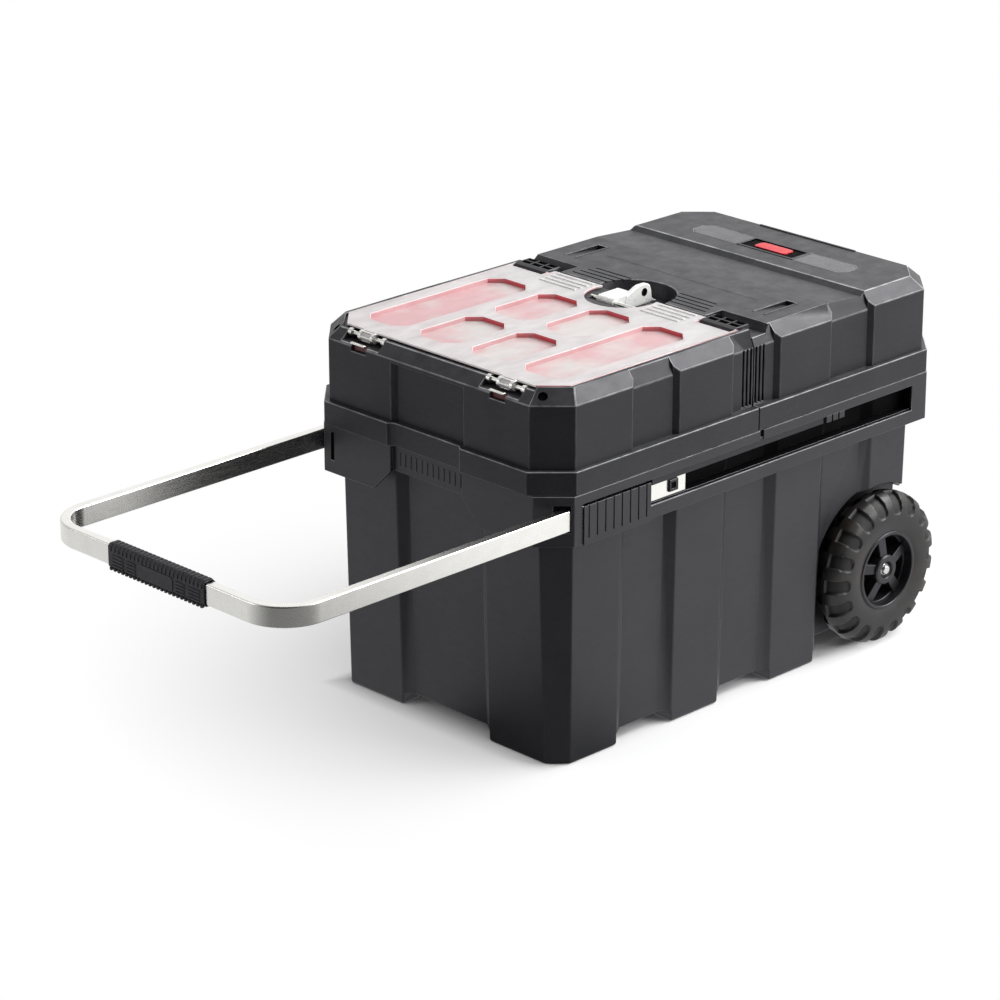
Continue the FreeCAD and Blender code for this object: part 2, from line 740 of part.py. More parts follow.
# Pull handle: a U of rectangular tube with a ribbed sleeve, and a stop button at each end
def handle():
    front = "-handleReach"

    def loop(skin):
        inner, outer = f"({barInner} + {skin})", f"({barOuter} - {skin})"
        low, high = f"{barBottom} + {skin}", f"{barTop} - {skin}"
        turn = "barBend"
        arm = box((f"{front} + {turn}", "-barRear"), (f"-{outer}", f"-{inner}"), (low, high))
        nose = box((f"{front} + {skin}", f"{front} + barThickness - {skin}"),
                   (f"-({barOuter}) + {turn}", f"{barOuter} - {turn}"), (low, high))
        bend = doc.addObject("Part::Cylinder", "Bend")
        bend.Placement = Placement(Vector(), Rotation(Vector(0, 0, 1), 180))
        bind(bend, {"Radius": f"{turn} - {skin}", "Height": f"{high} - ({low})"})
        bend.Angle = 90
        place(bend, {"x": f"{front} + {turn}", "y": f"-({barOuter}) + {turn}", "z": low})
        eye = rod("z", (f"{front} + {turn}", f"-({barOuter}) + {turn}"),
                  (f"{low} - overrun", f"{high} + overrun"), f"{turn} - barThickness + {skin}")
        return fuse(nose, *both(arm), *both(cut(bend, eye)))

    pinX = "-barRear - pinSetback"
    socket = box((f"{pinX} - pinSide / 2 - pinGap", f"{pinX} + pinSide / 2 + pinGap"),
                 (f"-({barOuter}) - overrun", f"-({barOuter}) + barWall + overrun"),
                 ("barMiddle - pinSide / 2 - pinGap", "barMiddle + pinSide / 2 + pinGap"))
    node("handle_bar", cut(loop("0"), loop("barWall"), *both(socket)))
    sleeve = prism("xz", [
        (f"{front} - gripWall + gripEdge", f"{barBottom} - gripWall"),
        (f"{front} + barThickness + gripWall - gripEdge", f"{barBottom} - gripWall"),
        (f"{front} + barThickness + gripWall", f"{barBottom} - gripWall + gripEdge"),
        (f"{front} + barThickness + gripWall", f"{barTop} + gripWall - gripEdge"),
        (f"{front} + barThickness + gripWall - gripEdge", f"{barTop} + gripWall"),
        (f"{front} - gripWall + gripEdge", f"{barTop} + gripWall"),
        (f"{front} - gripWall", f"{barTop} + gripWall - gripEdge"),
        (f"{front} - gripWall", f"{barBottom} - gripWall + gripEdge"),
    ], ("-gripLength / 2", "gripLength / 2"))
    node("handle_grip", cut(sleeve, box((front, f"{front} + barThickness"),
                                        ("-gripLength / 2 - overrun", "gripLength / 2 + overrun"),
                                        (barBottom, barTop))))
    pin = fuse(
        box((f"{pinX} - pinSide / 2", f"{pinX} + pinSide / 2"),
            (f"-({barOuter}) - pinProud", f"-({barOuter}) + barWall + pinGap"),
            ("barMiddle - pinSide / 2", "barMiddle + pinSide / 2")),
        box((f"{pinX} - pinSide / 2 - barWall", f"{pinX} + pinSide / 2 + barWall"),
            (f"-({barOuter}) + barWall", f"-({barInner}) - barWall"),
            ("barMiddle - pinSide / 2", "barMiddle + pinSide / 2")),
    )
    pin = node("stop_button_right", pin)
    node("stop_button_left", across(pin))


# Wheels: a spoked hub and a lugged tyre on a steel axle with a push cap at each end
def origin_part(body, role):
    return next(part for part in body.Origin.OriginFeatures if part.Role == role)


def body_sketch(body, role, points, offset="0", turn=0):
    sketch = body.newObject("Sketcher::SketchObject", f"{body.Name}Sketch")
    sketch.AttachmentSupport = [(origin_part(body, role), "")]
    sketch.MapMode = "FlatFace"
    sketch.AttachmentOffset = Placement(Vector(), Rotation(Vector(0, 0, 1), turn))
    bind(sketch, {"AttachmentOffset.Base.z": offset})
    draw(sketch, points)
    return sketch


def turned(name, points):
    body = doc.addObject("PartDesign::Body", name)
    sketch = body_sketch(body, "XY_Plane", points)
    turn = body.newObject("PartDesign::Revolution", f"{name}Turn")
    turn.Profile = sketch
    turn.ReferenceAxis = (sketch, ["V_Axis"])
    turn.Angle = 360
    return body


def ring_of_cuts(body, points, depth, count, offset="0", turn=0):
    doc.recompute()
    before = body.Shape.Volume
    sketch = body_sketch(body, "XZ_Plane", points, offset, turn)
    pocket = body.newObject("PartDesign::Pocket", f"{body.Name}Pocket")
    pocket.Profile = sketch
    bind(pocket, {"Length": depth})
    ring = body.newObject("PartDesign::PolarPattern", f"{body.Name}Ring")
    ring.Originals = [pocket]
    ring.Axis = (origin_part(body, "Y_Axis"), [""])
    ring.Angle = 360
    bind(ring, {"Occurrences": count})
    body.Tip = ring
    doc.recompute()
    if not body.Shape.Volume < before:
        raise RuntimeError(f"{body.Name}: the cuts remove nothing")


def wheels():
    seat, wide, round_off = "tyreSeatRadius", "wheelWidth", "tyreShoulder"
    tyre = turned("Tyre", [
        (seat, "hubEndInset"), (f"wheelRadius - 2 * {round_off}", 0),
        (f"wheelRadius - {round_off} / 2", f"{round_off} / 3"),
        ("wheelRadius", round_off), ("wheelRadius", f"{wide} - {round_off}"),
        (f"wheelRadius - {round_off} / 2", f"{wide} - {round_off} / 3"),
        (f"wheelRadius - 2 * {round_off}", wide),
        (seat, f"{wide} - hubEndInset"),
    ])
    groove = [
        ("wheelRadius - lugDepth", "-lugGap / 2"), ("wheelRadius + overrun", "-lugGap / 2"),
        ("wheelRadius + overrun", "lugGap / 2"), ("wheelRadius - lugDepth", "lugGap / 2"),
    ]
    row = "(wheelWidth - lugGap) / 2"
    ring_of_cuts(tyre, groove, row, "lugCount")
    ring_of_cuts(tyre, groove, f"{row} + overrun", "lugCount", f"-wheelWidth + {row}",
                 180 / sizes["lugCount"])
    bore, barrel = "axleRadius + axleFit", "axleRadius + axleFit + hubBarrelWall"
    rim = f"{seat} - hubRimWall"
    hub = turned("Hub", [
        (bore, "hubFaceInset"), (barrel, "hubFaceInset"), (barrel, "hubDiscInset"), (rim, "hubDiscInset"),
        (rim, "hubEndInset"), (seat, "hubEndInset"), (seat, f"{wide} - hubEndInset"),
        (rim, f"{wide} - hubEndInset"), (rim, "hubDiscInset + hubDisc"), (barrel, "hubDiscInset + hubDisc"),
        (barrel, f"{wide} - hubEndInset"), (bore, f"{wide} - hubEndInset"),
    ])
    ring_of_cuts(hub, [
        ("spokeInnerRadius", "-spokeGapInner / 2"), (f"{rim} - spokeRimGap", "-spokeGapOuter / 2"),
        (f"{rim} - spokeRimGap", "spokeGapOuter / 2"), ("spokeInnerRadius", "spokeGapInner / 2"),
    ], wide, "spokeCount")
    cap = turned("AxleCap", [
        ("axleRadius", "capDome"), ("axleRadius", "capDome + capThickness"),
        ("capRadius", "capDome + capThickness"), ("capRadius", "capDome + capThickness - capWall"),
        ("axleRadius + capWall", "capDome"), ("axleRadius", 0), (0, "-capWall"), (0, "capDome"),
    ])
    place(tyre, {"x": "axleX", "y": "-wheelFace", "z": "wheelRadius"})
    place(hub, {"x": "axleX", "y": "-wheelFace", "z": "wheelRadius"})
    capFace = "wheelFace - hubFaceInset + endPlay"
    place(cap, {"x": "axleX", "y": f"-({capFace}) - capDome - capThickness", "z": "wheelRadius"})
    for name, piece in (("tyre", tyre), ("wheel_hub", hub), ("axle_cap", cap)):
        node(f"{name}_right", piece)
        node(f"{name}_left", across(piece))
    node("axle", rod("y", ("axleX", "wheelRadius"),
                     (f"-({capFace}) - capThickness", f"{capFace} + capThickness"), "axleRadius"))


# Outer form shared by the two top halves: skirt, wall and crown
def half_block(end, topHeight):
    skirt = half_outline(end, skirtHalfLength, skirtHalfWidth, "skirtCorner")
    wall = half_outline(end, shellHalfLength, shellHalfWidth, "shellCorner")
    crown = half_outline(end, crownHalfLength, crownHalfWidth, "crownCorner")
    return fuse(
        prism("xy", skirt, (skirtBottom, skirtTop)),
        prism("xy", wall, (skirtTop, crownBase)),
        loft(outline("xy", wall, crownBase), outline("xy", crown, topHeight)),
    )


def side_recess(start, end, topHeight):
    bite = "shellSideInset"
    profile = prism("yz", [
        (f"-({shellHalfWidth}) - {bite}", skirtTop), (f"-({shellHalfWidth}) + recessDepth", skirtTop),
        (f"-({shellHalfWidth}) + recessDepth", f"{crownBase} - recessDrop"),
        (f"-({crownHalfWidth}) + recessLip", f"{topHeight} + overrun"),
        (f"-({shellHalfWidth}) - {bite}", f"{topHeight} + overrun"),
    ], (f"{start} - recessSlope - {bite}", f"{end} + recessSlope + {bite}"))
    inner = f"-({shellHalfWidth}) + recessDepth"
    middle = f"-({crownHalfWidth}) + recessLip"
    plan = prism("xy", [
        (f"{start} - recessSlope", f"-({shellHalfWidth}) - recessDepth"),
        (f"{end} + recessSlope", f"-({shellHalfWidth}) - recessDepth"),
        (f"{end} - recessSlope", inner), (f"{end} - recessSlope", middle),
        (f"{start} + recessSlope", middle), (f"{start} + recessSlope", inner),
    ], (f"{skirtTop} - overrun", f"{topHeight} + 2 * overrun"))
    return both(common(profile, plan))


def grip_slots(end):
    slots = []
    for step in range(sizes["gripSlotCount"]):
        x = f"{end} * (gripSlotStart + {step} * gripSlotPitch)"
        slots += both(box((f"{x} - gripSlotWidth / 2", f"{x} + gripSlotWidth / 2"),
                          (f"-({shellHalfWidth})", f"-({shellHalfWidth}) + recessDepth + gripSlotDepth"),
                          (f"{skirtTop} + gripSlotFoot", f"{frontTop} - crownRise - recessDrop")))
    return slots


def end_recess(end, topHeight):
    width = "endRecessWidth / 2"
    low = prism("xy", [
        (f"{end} * ({skirtHalfLength} + recessDepth)", f"-{width} - recessSlope"),
        (f"{end} * ({skirtHalfLength} + recessDepth)", f"{width} + recessSlope"),
        (f"{end} * ({skirtHalfLength} - recessDepth)", f"{width} - recessSlope"),
        (f"{end} * ({skirtHalfLength} - recessDepth)", f"-{width} + recessSlope"),
    ], (f"{skirtBottom} - overrun", skirtTop))
    high = prism("xy", [
        (f"{end} * ({shellHalfLength} + recessDepth)", f"-{width} - recessSlope"),
        (f"{end} * ({shellHalfLength} + recessDepth)", f"{width} + recessSlope"),
        (f"{end} * ({shellHalfLength} - recessDepth)", f"{width} - recessSlope"),
        (f"{end} * ({shellHalfLength} - recessDepth)", f"-{width} + recessSlope"),
    ], (skirtTop, f"{topHeight} - crownRise - recessDrop"))
    return [low, high]


def walled(end, points):
    first, *middle, last = points
    moved = [(f"{x} + {end} * shellWall", y) for x, y in (first, last)]
    return [moved[0], *middle, moved[1]]


def cavity(end, height):
    inset = "(recessDepth + shellWall)"
    low = half_outline(end, f"{skirtHalfLength} - {inset}", f"{skirtHalfWidth} - shellWall", "skirtCorner")
    high = half_outline(end, f"{shellHalfLength} - {inset}", f"{shellHalfWidth} - {inset}", "shellCorner")
    return [
        prism("xy", low, (f"{skirtBottom} - overrun", f"{skirtTop} - shellWall")),
        prism("xy", walled(end, high), (f"{skirtTop} - 2 * shellWall", f"{skirtBottom} + {height}")),
    ]


trayTop = f"({frontTop} - lidSeat)"
trayFloorTop = f"({trayTop} - trayDepth)"
trayFront = "trayReach"
trayHalfWidth = "traySide"
lidTop = f"({frontTop} + lidProud)"
lidUnder = f"({lidTop} - lidThickness)"
hingeX = f"({shellHalfLength} - hingeSetback)"
hingeZ = f"({lidTop} - hingeDrop)"
clipZ = f"({lidTop} - clipPivotDrop)"
haspZ = f"({frontTop} - haspPivotDrop)"
strapBottom = f"({frontTop} - haspStrapDrop)"
haspFloor = f"({strapBottom} - haspFloorGap)"


def tray_outline(inset, rear="-trayRear", inner=None):
    x, y = f"(-{trayFront} + {inset})", f"({trayHalfWidth} - ({inset}))"
    corner = f"(lidCorner - (2 - sqrt(2)) * ({inset}))"
    end = f"{rear} - ({inset})"
    far = [(end, y), (f"{x} + {corner}", y), (x, f"{y} - {corner}")]
    if inner:
        far = [(end, f"{inner} - ({inset})"), (x, f"{inner} - ({inset})")]
    return [(end, f"-{y}")] + far + [(x, f"-{y} + {corner}"), (f"{x} + {corner}", f"-{y}")]


# Front half: a hollow shell with a tray for the bins, and seats for lid, clips and hasp
def front_half():
    body = cut(half_block(-1, frontTop), *cavity(-1, "cavityHeight"),
               *side_recess("-recessEnd", "-recessStart", frontTop),
               *side_recess("-splitRecess", "splitRecess", frontTop),
               *end_recess(-1, frontTop), *grip_slots(-1))
    tray = prism("xy", tray_outline("-trayWall"), (f"{trayFloorTop} - trayFloor", f"{trayTop} - lidSeat"))
    pocket = prism("xy", tray_outline("0"), (trayFloorTop, f"{frontTop} + overrun"))
    front = f"(-{hingeX} + lidFrontGap)"
    edge = f"({crownHalfWidth} - crownCorner)"
    seat = prism("xy", [
        (f"-{shellHalfLength}", f"-{edge}"), (f"{front} - lidSideGap", f"-{edge}"),
        (f"{front} + lidCorner", f"-{trayHalfWidth}"), (f"-{halfSplit} + overrun", f"-{trayHalfWidth}"),
        (f"-{halfSplit} + overrun", trayHalfWidth), (f"{front} + lidCorner", trayHalfWidth),
        (f"{front} - lidSideGap", edge), (f"-{shellHalfLength}", edge),
    ], (f"{lidUnder} - lidSeat", f"{frontTop} + overrun"))
    haspSpan = ("-haspNotchWidth / 2 - hingePinEnd", "haspNotchWidth / 2 + hingePinEnd")
    seats = [
        seat,
        box(("-haspNotchFront", f"-{halfSplit} + overrun"), ("-haspNotchWidth / 2", "haspNotchWidth / 2"),
            (haspFloor, f"{frontTop} + overrun")),
        rod("y", ("-haspPivot", haspZ), haspSpan, "haspPinRadius"),
    ]
    for side in (-1, 1):
        middle = f"{side} * hingeSide"
        pinSpan = (f"{middle} - hingeLength / 2 - hingePinEnd", f"{middle} + hingeLength / 2 + hingePinEnd")
        seats += [
            box((f"-({hingeX}) - hingeNotchDepth - crownEndInset",
                 f"-({hingeX}) + knuckleRadius + hingeNotchGap"),
                (f"{middle} - hingeLength / 2", f"{middle} + hingeLength / 2"),
                (f"{hingeZ} - knuckleRadius - hingeNotchGap", f"{frontTop} + overrun")),
            rod("y", (f"-({hingeX})", hingeZ), pinSpan, "hingePinRadius"),
            box((f"-({shellHalfLength}) - overrun", f"-({shellHalfLength}) + recessDepth"),
                (f"{middle} - hookWindowWidth / 2", f"{middle} + hookWindowWidth / 2"),
                (f"{frontTop} - hookWindowDrop", f"{frontTop} - hookWindowDrop + hookWindowHeight")),
        ]
        node(f"lid_hinge_pin_{'right' if side < 0 else 'left'}",
             rod("y", (f"-({hingeX})", hingeZ), pinSpan, "hingePinRadius"))
    notch = box(("-clipNotchFront", f"-{halfSplit} + overrun"),
                ("-clipOuter - clipLug - 2 * clipSideGap", "-clipInner + clipLug + 2 * clipSideGap"),
                (f"{frontTop} - clipNotchDepth", f"{frontTop} + overrun"))
    node("front_shell", cut(fuse(body, tray, *rail_rib()), pocket, *seats, *both(notch)))
    node("hasp_pin", rod("y", ("-haspPivot", haspZ), haspSpan, "haspPinRadius"))


# Bins: open boxes whose flanges meet under the clear lid
def bins():
    rear, front = "(-trayRear - binGap)", f"(-{trayFront} + binGap)"
    rows = {"front": (front, "(-binRow - binGap / 2)"), "rear": ("(-binRow + binGap / 2)", rear)}
    column = ("(-binColumn + binGap / 2)", "(-binGap / 2)")
    top = f"({lidUnder} - binLidGap)"
    flangeZ = (f"{top} - binFlangeThickness", top)
    bodyZ = (trayFloorTop, f"{top} - binFlangeThickness / 2")
    insideZ = (f"{trayFloorTop} + binFloor", f"{top} + overrun")

    def tapered(row, inset, z):
        x = (f"{row[0]} + {inset}", f"{row[1]} - ({inset})")
        return box(x, (f"{column[0]} + {inset}", f"{column[1]} - ({inset})"), z)

    def long_prism(inset, z):
        return prism("xy", tray_outline(inset, inner="(-binColumn + binGap / 2)"), z)

    for name, row in rows.items():
        one = cut(fuse(tapered(row, "0", flangeZ), tapered(row, "binFlange", bodyZ)),
                  tapered(row, "binFlange + binWall", insideZ))
        node(f"bin_small_{name}_right", one)
        node(f"bin_small_{name}_left", across(one))
    one = cut(fuse(long_prism("binGap", flangeZ), long_prism("binGap + binFlange", bodyZ)),
              long_prism("binGap + binFlange + binWall", insideZ))
    node("bin_long_right", one)
    node("bin_long_left", across(one))


def window(x, middle, width, grow, z):
    halfWidth = f"({width} / 2 + {grow})"
    corner = f"(windowCorner + {grow} / 2)"
    low, high = f"(-({x[0]}) - {grow})", f"(-({x[1]}) + {grow})"
    return prism("xy", [
        (f"{low} + {corner}", f"{middle} - {halfWidth}"), (f"{high} - {corner}", f"{middle} - {halfWidth}"),
        (high, f"{middle} - {halfWidth} + {corner}"), (high, f"{middle} + {halfWidth} - {corner}"),
        (f"{high} - {corner}", f"{middle} + {halfWidth}"), (f"{low} + {corner}", f"{middle} + {halfWidth}"),
        (low, f"{middle} + {halfWidth} - {corner}"), (low, f"{middle} - {halfWidth} + {corner}"),
    ], z)


# Clear lid: a plate with six sunk windows, two hinge knuckles and two pairs of clip lugs
def clear_lid():
    front = f"-({hingeX}) + lidFrontGap"
    side = f"({trayHalfWidth} - lidSideGap)"
    corner = "(lidCorner + lidSwing)"
    plate = prism("xy", [
        (f"{front} + {corner}", f"-{side}"), ("-clipNotchFront", f"-{side}"),
        ("-clipNotchFront", "-clipInner + clipLug + 2 * clipSideGap"),
        ("-lidRear", "-clipInner + clipLug + 2 * clipSideGap"),
        ("-lidRear", "-haspNotchWidth / 2"), ("-haspNotchFront", "-haspNotchWidth / 2"),
        ("-haspNotchFront", "haspNotchWidth / 2"), ("-lidRear", "haspNotchWidth / 2"),
        ("-lidRear", "clipInner - clipLug - 2 * clipSideGap"),
        ("-clipNotchFront", "clipInner - clipLug - 2 * clipSideGap"), ("-clipNotchFront", side),
        (f"{front} + {corner}", side), (front, f"{side} - {corner}"), (front, f"-{side} + {corner}"),
    ], (lidUnder, lidTop))
    middle = "(windowFront + windowRear) / 2"
    spots = [
        ("windowFront", "windowRear", "windowColumnOuter", "windowWidth"),
        ("windowFront", f"{middle} + windowBar / 2", "windowColumnInner", "windowInnerWidth"),
        (f"{middle} - windowBar / 2", "windowRear", "windowColumnInner", "windowInnerWidth"),
    ]
    pans, hollows = [], []
    for start, end, column, width in spots:
        pans += both(window((start, end), f"-{column}", width, "windowWall",
                            (f"{lidTop} - windowDepth - windowFloor", f"{lidUnder} + lidThickness / 2")))
        hollows += both(window((start, end), f"-{column}", width, "0",
                               (f"{lidTop} - windowDepth", f"{lidTop} + overrun")))
    lugs, bores = [], []
    for way in (-1, 1):
        centre = f"{way} * hingeSide"
        span = (f"{centre} - knuckleLength / 2", f"{centre} + knuckleLength / 2")
        lugs.append(rod("y", (f"-({hingeX})", hingeZ), span, "knuckleRadius"))
        lugs.append(box((f"-({hingeX})", f"-({hingeX}) + knuckleRadius"), span, (hingeZ, lidUnder)))
        lugs.append(box((f"-({hingeX})", f"{front} + lidThickness"), span, (hingeZ, lidTop)))
        bores.append(rod("y", (f"-({hingeX})", hingeZ), (f"{span[0]} - overrun", f"{span[1]} + overrun"),
                         "hingePinRadius + hingeFit"))
    pinZ = clipZ
    for low, high in (("-clipOuter - clipLug - clipSideGap", "-clipOuter - clipSideGap"),
                      ("-clipInner + clipSideGap", "-clipInner + clipSideGap + clipLug")):
        lug = fuse(rod("y", ("-clipPivot", pinZ), (low, high), "clipBarrelRadius"),
                   box(("-clipNotchFront - overrun", "-clipPivot"), (low, high), (lidUnder, lidTop)),
                   box(("-clipNotchFront + clipSideGap", "-clipPivot"), (low, high),
                       (f"{pinZ} - clipBarrelRadius", lidTop)))
        lugs += both(lug)
    pinSpan = ("-clipOuter - clipLug - clipSideGap", "-clipInner + clipSideGap + clipLug")
    clipBore = rod("y", ("-clipPivot", pinZ), (f"{pinSpan[0]} - overrun", f"{pinSpan[1]} + overrun"),
                   "clipPinRadius")
    node("clear_lid", cut(fuse(plate, *pans, *lugs), *hollows, *bores, *both(clipBore)))
    pin = node("clip_pin_right", rod("y", ("-clipPivot", pinZ), pinSpan, "clipPinRadius"))
    node("clip_pin_left", across(pin))


# Clips: levers with a two by three grid of pockets, hinged on the lid's rear corners
def clips():
    pinZ, top = clipZ, f"{lidTop} + clipTop"
    under = f"{top} - clipThickness"
    span = ("-clipOuter", "-clipInner")
    lever = prism("xz", [
        ("-clipPivot", f"{pinZ} - clipBarrelRadius"), ("-clipPivot + clipBarrelRadius", under),
        ("-clipClawWidth * 2", under), ("-clipClawWidth * 2", f"{under} - clipClaw"),
        ("-clipClawWidth", f"{under} - clipClaw"), ("-clipClawWidth", under),
        ("clipTail", f"{under} + clipThickness / 3"), ("clipTail", f"{top} - clipThickness / 3"),
        ("clipTail - clipThickness / 3", top), ("-clipPivot + clipBarrelRadius", top),
        ("-clipPivot", f"{pinZ} + clipBarrelRadius"),
    ], span)
    barrel = rod("y", ("-clipPivot", pinZ), span, "clipBarrelRadius")
    pockets = []
    front, rear = "-clipPivot + clipBarrelRadius + clipPocketBar", "clipTail - clipPocketBar"
    for column in range(sizes["clipColumnCount"]):
        for row in range(sizes["clipRowCount"]):
            wide = f"(({rear}) - ({front}) - (clipColumnCount - 1) * clipPocketBar) / clipColumnCount"
            deep = "(clipOuter - clipInner - (clipRowCount + 1) * clipPocketBar) / clipRowCount"
            x = f"{front} + {column} * ({wide} + clipPocketBar)"
            y = f"-clipOuter + clipPocketBar + {row} * ({deep} + clipPocketBar)"
            pockets.append(box((x, f"{x} + {wide}"), (y, f"{y} + {deep}"),
                               (f"{top} - clipPocketDepth", f"{top} + overrun")))
    bore = rod("y", ("-clipPivot", pinZ), (f"{span[0]} - overrun", f"{span[1]} + overrun"),
               "clipPinRadius + hingeFit")
    clip = node("lid_clip_right", cut(fuse(lever, barrel), bore, *pockets))
    node("lid_clip_left", across(clip))


# Hasp: strap, upright ear with the padlock hole, and a sloped tail, rolled round its pin
def hasp():
    near, far = "-haspThickness / 2", "haspWidth - haspThickness / 2"
    strapTop = f"{strapBottom} + haspThickness"
    pieces = [
        rod("y", ("-haspPivot", haspZ), (near, far), "haspKnuckleRadius"),
        box(("-haspPivot", "haspEarRear"), (near, far), (strapBottom, strapTop)),
        box(("-haspPivot", "-haspPivot + haspThickness"), (near, far), (strapBottom, haspZ)),
        prism("xz", [
            ("-haspPivot", strapBottom), ("haspEarRear", strapBottom),
            ("haspEarRear", f"{strapBottom} + haspEarHeight - haspEarSlope"),
            ("haspEarRear - haspEarSlope", f"{strapBottom} + haspEarHeight"),
            ("-haspEarFront", f"{strapBottom} + haspEarHeight"),
            ("-haspPivot", f"{haspZ}"),
        ], (near, f"{near} + haspThickness")),
        prism("xz", [
            ("haspEarRear - haspThickness", strapBottom), ("haspEarRear + haspTailReach", strapBottom),
            ("haspEarRear", f"{strapBottom} + haspEarHeight - haspEarSlope"),
            ("haspEarRear - haspThickness", f"{strapBottom} + haspEarHeight - haspEarSlope"),
        ], (near, f"{near} + haspThickness")),
        prism("xz", [
            ("haspEarRear + haspTailReach - haspThickness", strapBottom),
            ("haspEarRear + haspTailReach", strapBottom),
            ("haspEarRear", f"{strapBottom} + haspEarHeight - haspEarSlope"),
            ("haspEarRear - haspThickness", f"{strapBottom} + haspEarHeight - haspEarSlope"),
        ], (near, f"{far} - haspWidth / 3")),
    ]
    hole = rod("y", ("haspHoleX", f"{strapBottom} + haspHoleRise"),
               (f"{near} - overrun", f"{near} + haspThickness + overrun"), "haspHoleRadius")
    bore = rod("y", ("-haspPivot", haspZ), (f"{near} - overrun", f"{far} + overrun"),
               "haspPinRadius + hingeFit")
    node("hasp", cut(fuse(*pieces), hole, bore))


# Rear half: a deep hollow lid with a raised rear deck, a bowl for the hasp and finger recesses
def rear_half():
    block = half_block(1, frontTop)
    roof = f"{frontTop} - roofThickness"
    inset = "(recessDepth + shellWall)"
    plan = half_outline(1, f"{crownHalfLength} - {inset}", f"{crownHalfWidth} - {inset}", "crownCorner")
    attic = prism("xy", walled(1, plan), (f"{skirtBottom} + shellWall", roof))

    def valley(skin):
        return prism("xz", [
            (f"valleyStart - {skin}", f"{frontTop} - {skin}"),
            ("valleyLow", f"{frontTop} - valleyDepth - {skin}"),
            (f"valleyEnd + {skin}", f"{frontTop} - {skin}"),
            (f"valleyEnd + {skin}", f"{frontTop} + overrun"),
            (f"valleyStart - {skin}", f"{frontTop} + overrun"),
        ], (f"-{shellHalfWidth}", shellHalfWidth))

    def bowl(skin):
        cone = doc.addObject("Part::Cone", "Bowl")
        bind(cone, {"Radius1": f"bowlFloorRadius + {skin}", "Radius2": f"bowlRadius + {skin}",
                    "Height": f"{frontTop} - ({haspFloor}) + {skin}"})
        place(cone, {"x": halfSplit, "y": 0, "z": f"{haspFloor} - {skin}"})
        return cone

    def clip_recess(skin):
        low = f"{frontTop} - clipRecessDepth - {skin}"
        return prism("xz", [
            (f"-{halfSplit} - overrun", low), (f"clipRecessReach + {skin}", low),
            (f"clipRecessReach + clipRecessSlope + {skin}", f"{frontTop} + overrun"),
            (f"-{halfSplit} - overrun", f"{frontTop} + overrun"),
        ], (f"-({shellHalfWidth})", f"-clipRecessInner + {skin}"))

    def ramp(skin):
        rampEnd = f"rampStart + rampLength + {skin}"
        return prism("xz", [
            (f"rampStart - {skin}", f"{frontTop} - {skin}"),
            (rampEnd, f"{frontTop} - rampDepth - {skin}"),
            (rampEnd, f"{frontTop} + overrun"),
            (f"rampStart - {skin}", f"{frontTop} + overrun"),
        ], (f"-rampInner - rampWidth - {skin}", f"-rampInner + {skin}"))

    skin = "roofThickness"
    attic = cut(attic, bowl(skin), valley(skin), *both(clip_recess(skin)), *both(ramp(skin)),
                box(("inlayFront - inlayGap - shellWall", "inlayFront + inlayLength + shellWall"),
                    ("-inlayReach - shellWall", "inlayReach + shellWall"),
                    (f"{frontTop} - inlayDepth - roofThickness", f"{frontTop}")))
    lows = cavity(1, "cavityHeight")
    lows = [cut(fuse(*lows), bowl(skin), *both(clip_recess(skin)))]
    grooves = []
    for step in range(sizes["grooveCount"]):
        x = f"grooveStart + {step} * groovePitch"
        y = f"-grooveInner - grooveLength + {step} * groovePitch / 3"
        grooves += both(box((f"{x} - grooveWidth / 2", f"{x} + grooveWidth / 2"),
                            (y, f"{y} + grooveLength"),
                            (f"{frontTop} - grooveDepth", f"{frontTop} + overrun")))
    badgeHalf = "badgeWidth / 2"

    def inlay_outline(grow):
        x0, x1 = f"inlayFront - {grow}", f"inlayFront + inlayLength + {grow}"
        y0 = f"-inlayReach - {grow}"
        y1 = f"-{badgeHalf} - inlayGap + {grow}"
        return [
            (f"{x0} + inlayCorner", y0), (f"{x1} - inlayCorner", y0), (x1, f"{y0} + inlayCorner"),
            (x1, y1), (x0, y1), (x0, f"{y0} + inlayCorner"),
        ]

    inlayBottom = f"{frontTop} - inlayDepth"
    seat = both(prism("xy", inlay_outline("inlayGap"), (inlayBottom, f"{frontTop} + overrun")))
    seat.append(box(("inlayFront - inlayGap", "inlayFront + inlayLength + inlayGap"),
                    (f"-{badgeHalf} - inlayGap", f"{badgeHalf} + inlayGap"),
                    (inlayBottom, f"{frontTop} + overrun")))
    shell = cut(block, *lows, attic, bowl("0"), valley("0"), *both(clip_recess("0")), *both(ramp("0")),
                *grooves, *seat,
                *side_recess("-splitRecess", "splitRecess", frontTop),
                *side_recess("recessStart", "recessEnd", frontTop),
                *end_recess(1, frontTop), *grip_slots(1))
    ribs = [endways(rib) for rib in rail_rib()]
    node("rear_shell", fuse(shell, *ribs))
    inlay = node("deck_inlay_right", prism("xy", inlay_outline("0"), (inlayBottom, frontTop)))
    node("deck_inlay_left", across(inlay))
    node("badge_plate", box(("inlayFront", "inlayFront + inlayLength"), (f"-{badgeHalf}", badgeHalf),
                            (inlayBottom, frontTop)))


tub()
rim_frame()
slides()
handle()
wheels()
front_half()
bins()
clear_lid()
clips()
hasp()
rear_half()
doc.recompute()

for thing in doc.Objects:
    if "Invalid" in thing.State or "Error" in thing.State:
        raise RuntimeError(f"{thing.Name} ({thing.Label}) did not build: {thing.State}")
for piece in nodes:
    if piece.Shape.isNull() or not piece.Shape.isValid() or not piece.Shape.Solids:
        raise RuntimeError(f"{piece.Label} has no sound solid")

os.makedirs("parts", exist_ok=True)
for piece in nodes:
    piece.Shape.exportStep(f"parts/{piece.Label}.step")
print(len(nodes), "nodes written")
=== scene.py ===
import json
import math

